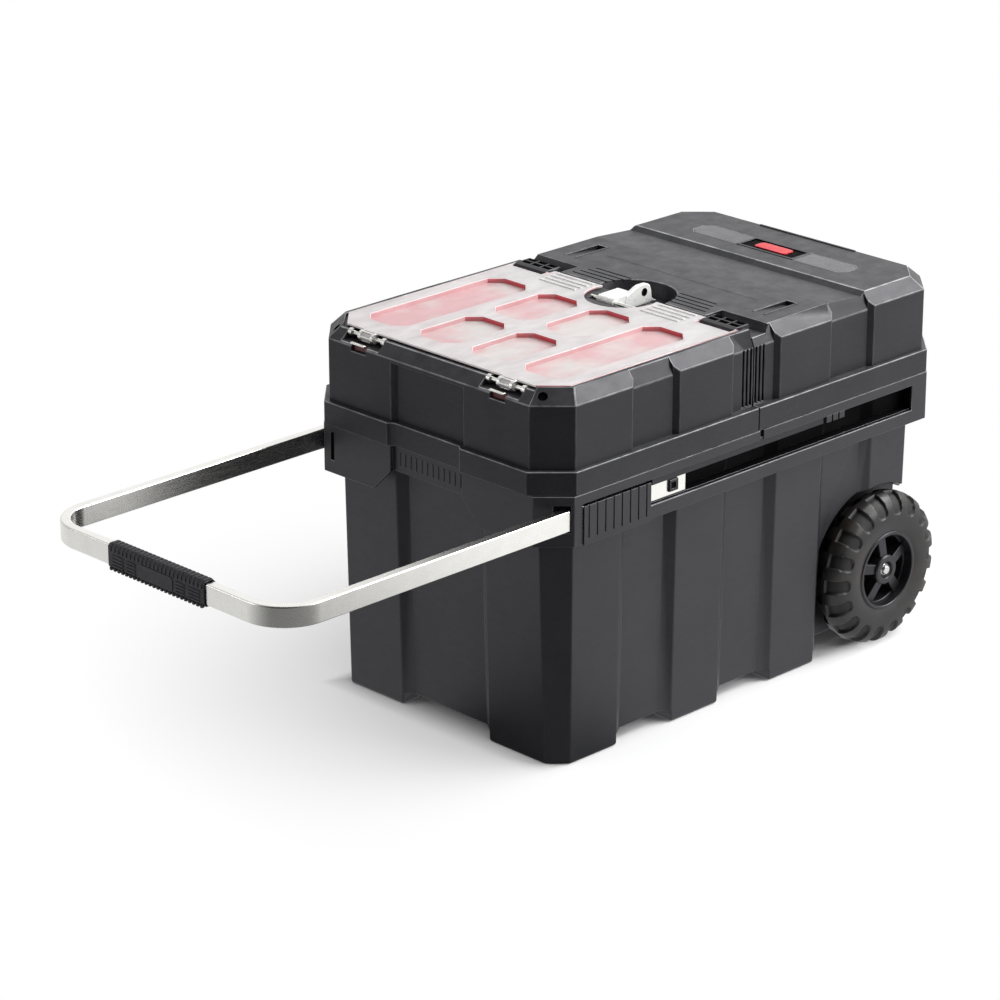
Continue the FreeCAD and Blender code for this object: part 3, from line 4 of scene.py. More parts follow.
import bmesh
import bpy
from mathutils import Matrix, Vector


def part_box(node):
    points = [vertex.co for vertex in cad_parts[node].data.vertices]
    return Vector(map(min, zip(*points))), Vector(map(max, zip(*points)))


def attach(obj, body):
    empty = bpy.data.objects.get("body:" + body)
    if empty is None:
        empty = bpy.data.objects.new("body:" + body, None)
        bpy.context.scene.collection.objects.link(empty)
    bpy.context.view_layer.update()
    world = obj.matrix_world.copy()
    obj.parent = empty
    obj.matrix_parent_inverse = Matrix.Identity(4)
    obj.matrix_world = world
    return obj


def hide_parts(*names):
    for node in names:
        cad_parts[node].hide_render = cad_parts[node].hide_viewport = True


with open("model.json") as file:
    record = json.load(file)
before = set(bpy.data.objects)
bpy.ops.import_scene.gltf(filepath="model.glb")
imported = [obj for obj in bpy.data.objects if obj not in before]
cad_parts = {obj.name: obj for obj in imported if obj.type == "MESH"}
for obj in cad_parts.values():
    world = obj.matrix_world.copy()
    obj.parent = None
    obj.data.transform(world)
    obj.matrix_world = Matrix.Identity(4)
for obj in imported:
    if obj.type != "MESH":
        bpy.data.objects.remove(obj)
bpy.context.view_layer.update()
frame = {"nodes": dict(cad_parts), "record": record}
nodes = frame["nodes"]
record = frame["record"]
scene = bpy.context.scene
mm = 0.001
axisY, axisZ = Vector((0, 1, 0)), Vector((0, 0, 1))
bodyOfNode = {node: body for body, members in record["behaviour"]["bodies"].items() for node in members}
slotOfNode = {part["node"]: part["material_slot"] for part in record["subparts"]}
tubLow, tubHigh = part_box("tub_shell")
middleX = (tubLow.x + tubHigh.x) / 2  # the handle puts the frame's own middle ahead of the box's
sides = {"right": -1, "left": 1}
print("frame loaded:", len(nodes), "nodes")


# shader building blocks
def clearTree(owner):
    owner.use_nodes = True
    owner.node_tree.nodes.clear()
    return owner.node_tree


# gives each input its link or its plain value
def feed(tree, node, inputs):
    for key, value in inputs.items():
        if isinstance(value, bpy.types.NodeSocket):
            tree.links.new(value, node.inputs[key])
        else:
            node.inputs[key].default_value = value


def added(tree, kind, inputs=None, **settings):
    node = tree.nodes.new(kind if kind.startswith("Geometry") else "ShaderNode" + kind)
    for name, value in settings.items():
        setattr(node, name, value)
    feed(tree, node, inputs or {})
    return node


def shaderTree(name):
    finish = bpy.data.materials.new(name)
    tree = clearTree(finish)
    skin = added(tree, "BsdfPrincipled")
    added(tree, "OutputMaterial", {"Surface": skin.outputs["BSDF"]})
    return finish, tree, skin


def noiseAt(tree, scale, detail, stretch=(1, 1, 1), rough=0.5):
    place = added(tree, "TexCoord").outputs["Object"]
    mapped = added(tree, "Mapping", {"Vector": place, "Scale": stretch}).outputs["Vector"]
    inputs = {"Vector": mapped, "Scale": scale, "Detail": detail, "Roughness": rough}
    return added(tree, "TexNoise", inputs).outputs["Fac"]


def spread(tree, value, low, high, lowTo, highTo):
    inputs = {"Value": value, "From Min": low, "From Max": high, "To Min": lowTo, "To Max": highTo}
    return added(tree, "MapRange", inputs).outputs["Result"]


def blendColours(tree, value, low, high, first, second):
    ramp = added(tree, "ValToRGB", {"Fac": value})
    for stop, position, colour in zip(ramp.color_ramp.elements, (low, high), (first, second)):
        stop.position = position
        stop.color = (*colour, 1)
    return ramp.outputs["Color"]


def sums(tree, way, first, second):
    return added(tree, "Math", {0: first, 1: second}, operation=way).outputs[0]


def tinted(tree, share, under, over):
    over = (*over, 1) if isinstance(over, tuple) else over
    return added(tree, "Mix", {0: share, 6: under, 7: over}, data_type="RGBA").outputs[2]


def raised(tree, value, strength, depth):
    inputs = {"Height": value, "Strength": strength, "Distance": depth * mm}
    return added(tree, "Bump", inputs).outputs["Normal"]


def markOf(tree, name):
    return added(tree, "Attribute", attribute_name=name).outputs["Fac"]


# moulded plastics: cloudy colour, uneven gloss, a fine grain and a patchy painted highlight along the rounded
# edges
noiseSpan = (0.3, 0.7)
mouldedLooks = {
    "charcoalPlastic": {
        "dark": (0.0098, 0.0102, 0.0122), "pale": (0.0152, 0.0156, 0.0182), "rough": (0.34, 0.47),
        "grain": 1500, "grainDepth": 0.09, "shine": 0.5, "rubbed": (0.37, 0.372, 0.385)},
    "topPlastic": {
        "dark": (0.0085, 0.0088, 0.0104), "pale": (0.0145, 0.0149, 0.0172), "rough": (0.36, 0.5),
        "grain": 1300, "grainDepth": 0.11, "shine": 0.37, "rubbed": (0.47, 0.472, 0.485)},
    "blackPlastic": {
        "dark": (0.006, 0.006, 0.0068), "pale": (0.010, 0.010, 0.0112), "rough": (0.33, 0.48),
        "grain": 1900, "grainDepth": 0.03, "shine": 0.5, "rubbed": (0.07, 0.07, 0.074)},
    "gripRubber": {
        "dark": (0.02, 0.0205, 0.0225), "pale": (0.034, 0.0345, 0.037), "rough": (0.5, 0.68), "grain": 1400,
        "grainDepth": 0.05, "shine": 0.45, "rubbed": (0.06, 0.061, 0.064)},
    # near-black finish painting the shade down in slots, holes and recesses
    "deepPlastic": {
        "dark": (0.0014, 0.0014, 0.0016), "pale": (0.0026, 0.0026, 0.003), "rough": (0.6, 0.8),
        "grain": 1500, "grainDepth": 0.05, "shine": 0.06, "rubbed": (0.01, 0.01, 0.011)},
    "greyPlastic": {
        "dark": (0.12, 0.12, 0.123), "pale": (0.16, 0.16, 0.164), "rough": (0.5, 0.66), "grain": 1000,
        "grainDepth": 0.12, "shine": 0.4, "rubbed": (0.24, 0.24, 0.245)},
    # the bins' red darkened: painted shade for the hooks down in their windows
    "wineRedPlastic": {
        "dark": (0.055, 0.004, 0.006), "pale": (0.095, 0.006, 0.009), "rough": (0.25, 0.4), "grain": 900,
        "grainDepth": 0.02, "shine": 0.5, "rubbed": (0.2, 0.03, 0.035)},
    "redPlastic": {
        "dark": (0.52, 0.014, 0.022), "pale": (0.64, 0.020, 0.030), "rough": (0.25, 0.38), "grain": 900,
        "grainDepth": 0.02, "shine": 0.5, "rubbed": (0.75, 0.10, 0.11)},
}
mouldedNoise = {
    "speckleScale": 0.4, "speckle": 0.22, "clouds": 14, "cloudRough": 0.62, "cloudSpan": (0.3, 0.74),
    "rubs": 60, "rubLeast": 0.3, "scuffs": 55, "scuffStretch": (1, 1, 3.5), "scuffSpan": (0.3, 0.72),
    "bump": 0.45, "glossTint": (0.95, 0.935, 1, 1),
}


def mouldedPlastic(name):
    look, noise = mouldedLooks[name], mouldedNoise
    finish, tree, skin = shaderTree(name)
    fine = noiseAt(tree, look["grain"] * noise["speckleScale"], 2)
    speckle = spread(tree, fine, *noiseSpan, -noise["speckle"], noise["speckle"])
    clouds = sums(tree, "ADD", noiseAt(tree, noise["clouds"], 5, rough=noise["cloudRough"]), speckle)
    colour = blendColours(tree, clouds, *noise["cloudSpan"], look["dark"], look["pale"])
    patchyHighlight = spread(tree, noiseAt(tree, noise["rubs"], 4), *noiseSpan, noise["rubLeast"], 1.0)
    # painted highlight: the edge mark, broken into patches, blends the colour towards a pale grey
    paintedGlint = sums(tree, "MULTIPLY", markOf(tree, "edgeWear"), patchyHighlight)
    scuffs = noiseAt(tree, noise["scuffs"], 6, noise["scuffStretch"], 0.7)
    feed(tree, skin, {
        "Base Color": tinted(tree, paintedGlint, colour, look["rubbed"]),
        "Roughness": spread(tree, scuffs, *noise["scuffSpan"], *look["rough"]),
        "Normal": raised(tree, noiseAt(tree, look["grain"], 2), noise["bump"], look["grainDepth"]),
        "Specular IOR Level": look["shine"], "Specular Tint": noise["glossTint"]})
    return finish


metalLooks = {
    "brightZinc": {
        "dark": (0.90, 0.89, 0.85), "pale": (0.96, 0.955, 0.92), "rough": (0.2, 0.32),
        "stretch": (1, 26, 26), "metal": 1.0},
    "castZinc": {
        "dark": (0.84, 0.85, 0.82), "pale": (0.94, 0.945, 0.92), "rough": (0.24, 0.38),
        "stretch": (3, 9, 3), "metal": 0.2},
    "platedSteel": {
        "dark": (0.55, 0.55, 0.55), "pale": (0.72, 0.72, 0.71), "rough": (0.24, 0.38),
        "stretch": (1, 18, 18), "metal": 1.0},
}
metalNoise = {"spangles": 70, "streaks": 40, "bump": 0.12, "bumpDepth": 0.02}


def platedMetal(name):
    look = metalLooks[name]
    finish, tree, skin = shaderTree(name)
    spangles = noiseAt(tree, metalNoise["spangles"], 4, rough=0.6)
    streaks = noiseAt(tree, metalNoise["streaks"], 5, look["stretch"], 0.7)
    feed(tree, skin, {
        "Base Color": blendColours(tree, spangles, *noiseSpan, look["dark"], look["pale"]),
        "Roughness": spread(tree, streaks, *noiseSpan, *look["rough"]), "Metallic": look["metal"],
        "Normal": raised(tree, streaks, metalNoise["bump"], metalNoise["bumpDepth"])})
    return finish


# rubber: dusty on the shoulders with brown patches, darker down in the pockets as painted shade
tyreLook = {
    "dark": (0.0052, 0.0052, 0.0055), "dust": (0.0195, 0.0168, 0.0148), "dusts": 34,
    "dustSpan": (0.46, 0.76), "brown": (0.046, 0.027, 0.016), "browns": 11, "brownSpan": (0.5, 0.72),
    "brownMost": 0.6, "pocket": (0.0014, 0.0014, 0.0015), "pocketRough": 0.2, "rough": (0.34, 0.55),
    "grain": 900, "bump": 0.4, "bumpDepth": 0.08, "shine": 0.5,
}


def tyreRubber():
    look = tyreLook
    finish, tree, skin = shaderTree("tyreRubber")
    dust = noiseAt(tree, look["dusts"], 6, rough=0.68)
    colour = blendColours(tree, dust, *look["dustSpan"], look["dark"], look["dust"])
    browns = noiseAt(tree, look["browns"], 4, rough=0.6)
    patches = spread(tree, browns, *look["brownSpan"], 0.0, look["brownMost"])
    colour = tinted(tree, patches, colour, look["brown"])
    # the pockets' depth mark blends the colour towards near-black: painted shade
    deep = markOf(tree, "hollow")
    gloss = spread(tree, dust, *noiseSpan, *look["rough"])
    feed(tree, skin, {
        "Base Color": tinted(tree, deep, colour, look["pocket"]),
        "Roughness": sums(tree, "ADD", gloss, sums(tree, "MULTIPLY", deep, look["pocketRough"])),
        "Normal": raised(tree, noiseAt(tree, look["grain"], 3), look["bump"], look["bumpDepth"]),
        "Specular IOR Level": look["shine"]})
    return finish


# the lid's clear plastic: milky on its bars, cloudy in its windows, red light in their walls, and a painted
# highlight on its rims
clearLook = {
    "tint": (0.74, 0.715, 0.72), "pale": (0.86, 0.84, 0.845), "red": (0.66, 0.06, 0.08),
    "rim": (0.95, 0.86, 0.87), "panePink": (0.83, 0.51, 0.53), "panePale": (0.80, 0.765, 0.745),
    "rough": (0.08, 0.2), "bars": 0.64, "barsVary": 0.05, "panes": 0.04, "walls": 0.2, "rims": 0.28,
    "flows": 22, "flowStretch": (1, 2.2, 1), "patches": 14, "waves": 160, "flowSpan": (0.3, 0.75),
    "patchSpan": (0.42, 0.64), "coverSpan": (0.25, 0.75), "bump": 0.06, "bumpDepth": 0.05,
}


def clearPlastic():
    look = clearLook
    finish, tree, skin = shaderTree("clearPlastic")
    flow = noiseAt(tree, look["flows"], 4, look["flowStretch"], 0.6)
    colour = blendColours(tree, flow, *look["flowSpan"], look["tint"], look["pale"])
    clouds = noiseAt(tree, look["patches"], 3)
    patches = blendColours(tree, clouds, *look["patchSpan"], look["panePink"], look["panePale"])
    # panes take their cloudy tint, rims a near-white painted highlight, and walls their red light
    for mark, over in (("pane", patches), ("edgeWear", look["rim"]), ("paneWall", look["red"])):
        colour = tinted(tree, markOf(tree, mark), colour, over)
    bars, vary = look["bars"], look["barsVary"]
    cover = spread(tree, flow, *look["coverSpan"], bars - vary, bars + vary)
    # the rims are also made more opaque, to carry their painted highlight
    for mark, share in (("pane", "panes"), ("paneWall", "walls"), ("edgeWear", "rims")):
        cover = sums(tree, "ADD", cover, sums(tree, "MULTIPLY", markOf(tree, mark), look[share]))
    feed(tree, skin, {
        "Base Color": colour, "Roughness": spread(tree, flow, *noiseSpan, *look["rough"]), "Alpha": cover,
        "Normal": raised(tree, noiseAt(tree, look["waves"], 3), look["bump"], look["bumpDepth"])})
    return finish


finishes = {name: mouldedPlastic(name) for name in mouldedLooks}
finishes.update({name: platedMetal(name) for name in metalLooks})
finishes["tyreRubber"] = tyreRubber()
finishes["clearPlastic"] = clearPlastic()
finishOfSlot = {
    "charcoal_plastic": "charcoalPlastic", "black_plastic": "blackPlastic", "tyre": "tyreRubber",
    "zinc": "brightZinc", "steel": "platedSteel", "red_plastic": "redPlastic",
    "clear_plastic": "clearPlastic", "grey_plastic": "greyPlastic",
}
for name, piece in nodes.items():
    piece.data.materials.clear()
    piece.data.materials.append(finishes[finishOfSlot[slotOfNode[name]]])
print("finishes:", len(finishes))


# mesh building blocks; pieces are drawn in millimetres from the box's middle
weld = 0.01 * mm
flatTurn = math.radians(0.5)


def at(x, y, z):
    return Vector((x * mm + middleX, y * mm, z * mm))


def inBox(spot):
    return (spot - at(0, 0, 0)) / mm


def spanOf(node):
    return [inBox(corner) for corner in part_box(node)]


def addPiece(mesh, name, finish, body, replaced=()):
    mesh.name = name
    hollows = [face.material_index for face in mesh.polygons]
    mesh.materials.clear()
    mesh.materials.append(finishes[finish])
    # faces marked as hollows take the near-black painted-shade finish
    if any(hollows):
        mesh.materials.append(finishes["deepPlastic"])
        mesh.polygons.foreach_set("material_index", hollows)
    piece = bpy.data.objects.new(name, mesh)
    scene.collection.objects.link(piece)
    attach(piece, body)
    if replaced:
        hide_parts(*replaced)


def asMesh(form, name):
    mesh = bpy.data.meshes.new(name)
    form.to_mesh(mesh)
    form.free()
    return mesh


def bench(mesh):
    piece = bpy.data.objects.new("bench", mesh)
    scene.collection.objects.link(piece)
    return piece


def worked(piece):
    graph = bpy.context.evaluated_depsgraph_get()
    mesh = bpy.data.meshes.new_from_object(piece.evaluated_get(graph), depsgraph=graph)
    bpy.data.objects.remove(piece)
    return mesh


def cleanForm(mesh):
    form = bmesh.new()
    form.from_mesh(mesh)
    bmesh.ops.remove_doubles(form, verts=form.verts, dist=weld)
    bmesh.ops.dissolve_limit(form, angle_limit=flatTurn, verts=form.verts, edges=form.edges)
    return form


def nodeForm(node):
    return cleanForm(nodes[node].data)


def faceOut(form):
    bmesh.ops.recalc_face_normals(form, faces=form.faces)


def boxFaces(form, corners):
    for loop in ((0, 2, 3, 1), (4, 5, 7, 6), (0, 1, 5, 4), (2, 6, 7, 3), (0, 4, 6, 2), (1, 3, 7, 5)):
        form.faces.new([corners[i] for i in loop])
    faceOut(form)


def blocks(*spans):
    form = bmesh.new()
    for x, y, z in spans:
        boxFaces(form, [form.verts.new(at(a, b, c)) for c in z for b in y for a in x])
    return form


def mirrored(way, near, far):
    return sorted((way * near, way * far))


def bothSides(x, y, z):
    return [(x, mirrored(way, *y), z) for way in sides.values()]


def drawnBar(profile, y):
    form = bmesh.new()
    rings = [[form.verts.new(at(px, side, pz)) for px, pz in profile] for side in y]
    form.faces.new(rings[0])
    form.faces.new(list(reversed(rings[1])))
    for i in range(len(profile)):
        j = (i + 1) % len(profile)
        form.faces.new((rings[0][j], rings[0][i], rings[1][i], rings[1][j]))
    faceOut(form)
    return form


def addDrum(form, centre, axis, radius, length, count=32):
    turn = axisZ.rotation_difference(axis).to_matrix().to_4x4()
    bmesh.ops.create_cone(form, cap_ends=True, segments=count, radius1=radius * mm, radius2=radius * mm,
                          depth=length * mm, matrix=Matrix.Translation(centre) @ turn)


def roundCorners(form, axis, radius, steps):
    edges = [edge for edge in form.edges if abs((edge.verts[0].co - edge.verts[1].co)[axis]) > 0.1 * mm]
    bmesh.ops.bevel(form, geom=edges, offset=radius * mm, segments=steps, profile=0.5, affect="EDGES")


def benchSlots(mesh):
    for finish in ("charcoalPlastic", "blackPlastic", "greyPlastic"):
        mesh.materials.append(finishes[finish])


# cuts a form, and marks the new faces as hollows for the near-black painted-shade finish unless they are
# plain
def carved(form, cutters, plain=False):
    faceOut(cutters)
    for face in cutters.faces:
        face.material_index = int(not plain)
    piece = bench(asMesh(form, "carving"))
    tool = bench(asMesh(cutters, "cutter"))
    benchSlots(piece.data)
    benchSlots(tool.data)
    cut = piece.modifiers.new("cut", "BOOLEAN")
    cut.operation = "DIFFERENCE"
    cut.solver = "EXACT"
    cut.object = tool
    mesh = worked(piece)
    bpy.data.objects.remove(tool)
    return cleanForm(mesh)


# the last two values set the painted edge highlight: its strength, and the share kept on edges that don't
# face up
edgeRules = {
    "tiny": 0.02, "beside": 2, "flat": 0.02, "share": 0.42, "least": 0.1, "onFloor": 0.5, "sharp": 18,
    "topSharp": 6, "drumSharp": 40, "wear": 0.3, "sideWear": 0.08,
}


def edgeRoom(edge):
    start, end = (vert.co for vert in edge.verts)
    length = edge.calc_length()
    along = (end - start) / length
    room = length
    beside = edgeRules["beside"] * mm
    for face in edge.link_faces:
        for vert in face.verts:
            offset = vert.co - start
            foot = offset.dot(along)
            away = (offset - along * foot).length
            if away > edgeRules["tiny"] * mm and -beside < foot < length + beside:
                room = min(room, away)
    for vert in edge.verts:
        for other in vert.link_edges:
            if len(other.link_faces) == 2 and other.calc_face_angle() > edgeRules["flat"]:
                room = min(room, other.calc_length())
    return room


# rounds the outer edges as far as the faces beside them leave room, and marks them for a painted highlight,
# fuller where they face up
def softEdges(form, width, steps=2, wear=edgeRules["wear"], foot=0, crisp=None, sharp=edgeRules["sharp"]):
    weights = {}
    widest = max(width, foot)
    for edge in form.edges:
        if len(edge.link_faces) != 2 or edge.calc_length() < edgeRules["tiny"] * mm:
            continue
        start, end = (vert.co for vert in edge.verts)
        edge.smooth = edge.calc_face_angle() < math.radians(sharp)
        if edge.smooth or not edge.is_convex or crisp and crisp(inBox((start + end) / 2)):
            continue
        low = max(start.z, end.z) < edgeRules["onFloor"] * mm
        reach = min(foot if foot and low else width, edgeRules["share"] * edgeRoom(edge) / mm)
        if reach > edgeRules["least"]:
            weights[edge.index] = reach / widest
            edge.smooth = True
    for face in form.faces:
        face.smooth = True
    form.edges.index_update()
    mesh = asMesh(form, "softened")
    amounts = mesh.attributes.new("bevel_weight_edge", "FLOAT", "EDGE")
    for index, weight in weights.items():
        amounts.data[index].value = weight
    benchSlots(mesh)
    piece = bench(mesh)
    rounding = piece.modifiers.new("rounding", "BEVEL")
    rounding.limit_method = "WEIGHT"
    rounding.width = widest * mm
    rounding.segments = steps
    rounding.use_clamp_overlap = False
    rounding.material = 2
    rounding.face_strength_mode = "FSTR_AFFECTED"
    shading = piece.modifiers.new("shading", "WEIGHTED_NORMAL")
    shading.mode = "FACE_AREA"
    shading.weight = 100
    shading.keep_sharp = True
    shading.use_face_influence = True
    mesh = worked(piece)
    # the bevel faces carry the painted edge highlight, fuller on those that face up as if lit from above
    highlightMark = mesh.attributes.new("edgeWear", "FLOAT", "FACE")
    kinds = [face.material_index for face in mesh.polygons]
    least = edgeRules["sideWear"]
    topLitShare = [least + (1 - least) * max(0.0, face.normal.z) for face in mesh.polygons]
    highlightMark.data.foreach_set("value", [wear * share if kind == 2 else 0.0 for kind, share in zip(kinds, topLitShare)])
    mesh.polygons.foreach_set("material_index", [int(kind == 1) for kind in kinds])
    return mesh


# geometry node trees for what repeats
def nodeTree(name, spot):
    tree = bpy.data.node_groups.new(name, "GeometryNodeTree")
    for label, kind in (("Geometry", "Geometry"), ("count", "Int"), (spot, "Vector"), ("finish", "Material")):
        tree.interface.new_socket(label, in_out="INPUT", socket_type="NodeSocket" + kind)
    tree.interface.new_socket("Geometry", in_out="OUTPUT", socket_type="NodeSocketGeometry")
    return tree, tree.nodes.new("NodeGroupInput"), tree.nodes.new("NodeGroupOutput")


def closeTree(tree, start, out, spots, merge):
    place = added(tree, "GeometryNodeInstanceOnPoints", {**spots, "Instance": start.outputs["Geometry"]})
    last = added(tree, "GeometryNodeRealizeInstances", {"Geometry": place.outputs["Instances"]})
    if merge:
        inputs = {"Geometry": last.outputs["Geometry"], "Distance": weld}
        last = added(tree, "GeometryNodeMergeByDistance", inputs)
    inputs = {"Geometry": last.outputs["Geometry"], "Material": start.outputs["finish"]}
    paint = added(tree, "GeometryNodeSetMaterial", inputs)
    tree.links.new(paint.outputs["Geometry"], out.inputs["Geometry"])
    return tree


def rowTree():
    tree, start, out = nodeTree("evenRow", "step")
    inputs = {"Count": start.outputs["count"], "Offset": start.outputs["step"]}
    line = added(tree, "GeometryNodeMeshLine", inputs, mode="OFFSET")
    return closeTree(tree, start, out, {"Points": line.outputs["Mesh"]}, False)


def ringTree():
    tree, start, out = nodeTree("evenRing", "centre")
    inputs = {"Count": start.outputs["count"], "Position": start.outputs["centre"]}
    points = added(tree, "GeometryNodePoints", inputs)
    index = added(tree, "GeometryNodeInputIndex")
    share = sums(tree, "DIVIDE", index.outputs[0], start.outputs["count"])
    turn = added(tree, "CombineXYZ", {"Y": sums(tree, "MULTIPLY", share, 2 * math.pi)})
    return closeTree(tree, start, out, {"Points": points.outputs[0], "Rotation": turn.outputs[0]}, True)


evenRow = rowTree()
evenRing = ringTree()


def repeated(mesh, tree, settings):
    piece = bench(mesh)
    build = piece.modifiers.new("repeat", "NODES")
    build.node_group = tree
    for item in tree.interface.items_tree:
        if item.in_out == "INPUT" and item.name in settings:
            build[item.identifier] = settings[item.name]
    mesh = worked(piece)
    mesh.polygons.foreach_set("material_index", [0] * len(mesh.polygons))
    return mesh


def rowOf(mesh, count, step, finish):
    return repeated(mesh, evenRow, {"count": count, "step": step, "finish": finishes[finish]})


def ringOf(mesh, count, centre, finish):
    return repeated(mesh, evenRing, {"count": count, "centre": tuple(centre), "finish": finishes[finish]})


def joinMeshes(meshes):
    form = bmesh.new()
    for mesh in meshes:
        form.from_mesh(mesh)
    return asMesh(form, "joined")


# shells and small parts whose shape is the frame's own, with their edges rounded
softWidths = {
    "tub_shell": 1.4, "front_shell": 1.0, "rear_shell": 1.0, "rim_frame": 0.9, "clear_lid": 0.7,
    "hasp_pin": 0.7, "lid_clip": 0.5, "bin": 0.7, "channel_cover": 0.5, "axle_cap": 0.5, "stop_button": 0.8,
    "deck_inlay": 0.4,
}
# how strong the painted edge highlight is on each shell
edgeHighlights = {"tub_shell": 0.12, "front_shell": 0.95, "rear_shell": 0.95, "rim_frame": 0.9, "clear_lid": 0.8}
topShells = ("front_shell", "rear_shell")
footRound = 3.6
past = 1  # how far a cutter starts outside
rimCarving = {
    "slit": (140, 145), "slitHeight": (266, 297), "slitDepth": 2.4, "keyhole": (3.4, 8.6),
    "keyholeHeight": (294, 306), "keyholeDepth": 2.6, "entry": (169.3, 182), "entryHeight": (290, 295.4),
    "entryDepth": 40,
}
cornerHole = {
    "radius": 5.2, "depth": 2.8, "spot": (286.7, 151.9, 406.7), "facing": (0.48, 0.48, 0.734), "count": 24,
}
rampPocket = {"x": (49, 100), "y": (132, 146), "z": (413.1, 416)}
buttonHollow = {"x": (-131, -124.4), "z": (275.8, 282.4), "depth": 1.4}
lidNotch = {"spot": (-14, 0, 410), "radius": 41, "length": 40, "count": 64}
deckGrooves = {"x": (7, 41), "y": (33, 101), "above": 411}
underRim = 262
slotSpace = {"x": (-263, 252), "top": 301.5, "wall": 160, "face": 182.5}
splitRibs = {"half": 18, "floor": 170.4, "face": 175.4, "steep": 0.3}
topPaling = {"most": 0.085, "facing": 0.5}
paneRules = {
    "front": 14, "rear": 6, "side": 3, "sunk": 3.5, "above": 4, "edge": 1, "flat": 0.85, "aside": 0.8,
    "wall": 0.5,
}


def rimCutters():
    low, high = spanOf("rim_frame")
    front = low.x - past
    slit = ((front, low.x + rimCarving["slitDepth"]), rimCarving["slit"], rimCarving["slitHeight"])
    keyhole = (high.y + past, high.y - rimCarving["keyholeDepth"])
    entry = (front, low.x + rimCarving["entryDepth"])
    return blocks(slit, *bothSides(rimCarving["keyhole"], keyhole, rimCarving["keyholeHeight"]),
                  *bothSides(entry, rimCarving["entry"], rimCarving["entryHeight"]))


def cornerCutters():
    form = bmesh.new()
    x, y, z = cornerHole["spot"]
    ahead, aside, up = cornerHole["facing"]
    for way in sides.values():
        outward = Vector((-ahead, way * aside, up)).normalized()
        addDrum(form, at(-x, way * y, z), outward, cornerHole["radius"], cornerHole["depth"] * 2,
                cornerHole["count"])
    return form


def rampCutters():
    return blocks(*bothSides(rampPocket["x"], rampPocket["y"], rampPocket["z"]))


def lidCutters():
    form = bmesh.new()
    addDrum(form, at(*lidNotch["spot"]), axisZ, lidNotch["radius"], lidNotch["length"], lidNotch["count"])
    return form


def buttonCutters():
    face = spanOf("stop_button_left")[1].y
    depth = (face + past, face - buttonHollow["depth"])
    return blocks(*bothSides(buttonHollow["x"], depth, buttonHollow["z"]))


# the deck's fine grooves stay crisp
def inGrooves(spot):
    x, y, z = spot
    along, across = deckGrooves["x"], deckGrooves["y"]
    return along[0] < x < along[1] and across[0] < abs(y) < across[1] and z > deckGrooves["above"]


def inSlot(x, y, z):
    start, end = slotSpace["x"]
    return start < x < end and abs(y) > slotSpace["wall"] and underRim < z < slotSpace["top"]


# marks faces inside the side slots and between the split ribs for the near-black painted-shade finish
def markHollows(form, node):
    if node == "tub_shell":
        bmesh.ops.bisect_plane(form, geom=form.verts[:] + form.edges[:] + form.faces[:],
                               plane_co=(0, 0, underRim * mm), plane_no=axisZ)
    for face in form.faces:
        x, y, z = inBox(face.calc_center_median())
        if node == "tub_shell":
            deep = inSlot(x, y, z)
        elif node == "rim_frame":
            deep = inSlot(x, y, z) and abs(y) < slotSpace["face"]
        else:
            ribs = abs(x) < splitRibs["half"] and splitRibs["floor"] < abs(y) < splitRibs["face"]
            deep = node in topShells and ribs and abs(face.normal.z) < splitRibs["steep"]
        if deep:
            face.material_index = 1


# what faces up is made a little paler, the more so the more it faces up
def paleTops(mesh):
    highlightMark = mesh.attributes["edgeWear"]
    for face in mesh.polygons:
        if face.normal.z > topPaling["facing"]:
            highlightMark.data[face.index].value = max(highlightMark.data[face.index].value, topPaling["most"] * face.normal.z)


# the tub's faces inside the slots, rounded edges too, get the same near-black painted shade as its walls
# there
def darkenSlots(mesh):
    for face in mesh.polygons:
        if inSlot(*inBox(face.center)):
            face.material_index = 1


def markPanes(mesh):
    rules = paneRules
    low, high = spanOf("clear_lid")
    pane = mesh.attributes.new("pane", "FLOAT", "FACE")
    wall = mesh.attributes.new("paneWall", "FLOAT", "FACE")
    for face in mesh.polygons:
        spot, facing = inBox(face.center), face.normal
        inside = low.x + rules["front"] < spot.x < high.x - rules["rear"]
        inside = inside and abs(spot.y) < high.y - rules["side"]
        flat = abs(facing.z) > rules["flat"]
        pane.data[face.index].value = float(flat and inside and spot.z < high.z - rules["sunk"])
        edgeOn = abs(facing.y) > rules["aside"] and abs(spot.y) > high.y - rules["edge"]
        if not flat and (edgeOn or inside and spot.z > low.z + rules["above"]):
            lit = max(0.0, -facing.x) if inside else 0.0
            wall.data[face.index].value = rules["wall"] + (1 - rules["wall"]) * lit


carvings = {
    "rim_frame": rimCutters, "front_shell": cornerCutters, "rear_shell": rampCutters,
    "clear_lid": lidCutters, "stop_button_right": buttonCutters, "stop_button_left": buttonCutters,
}
for node in nodes:
    stem = next((stem for stem in softWidths if node.startswith(stem)), None)
    if stem is None:
        continue
    form = nodeForm(node)
    if node in carvings:
        form = carved(form, carvings[node](), plain=node in ("rear_shell", "clear_lid"))
    markHollows(form, node)
    top = node in topShells
    mesh = softEdges(form, softWidths[stem], wear=edgeHighlights.get(stem, edgeRules["wear"]),
                     foot=footRound if node == "tub_shell" else 0,
                     crisp=inGrooves if node == "rear_shell" else None,
                     sharp=edgeRules["topSharp" if top else "sharp"])
    if node == "clear_lid":
        markPanes(mesh)
    if node == "tub_shell":
        darkenSlots(mesh)
    if top:
        paleTops(mesh)
    first, *rest = node.split("_")
    name = first + "".join(word.capitalize() for word in rest)
    slot = slotOfNode[node]
    addPiece(mesh, name, "topPlastic" if top else finishOfSlot[slot], bodyOfNode[node], (node,))
print("rounded pieces made")


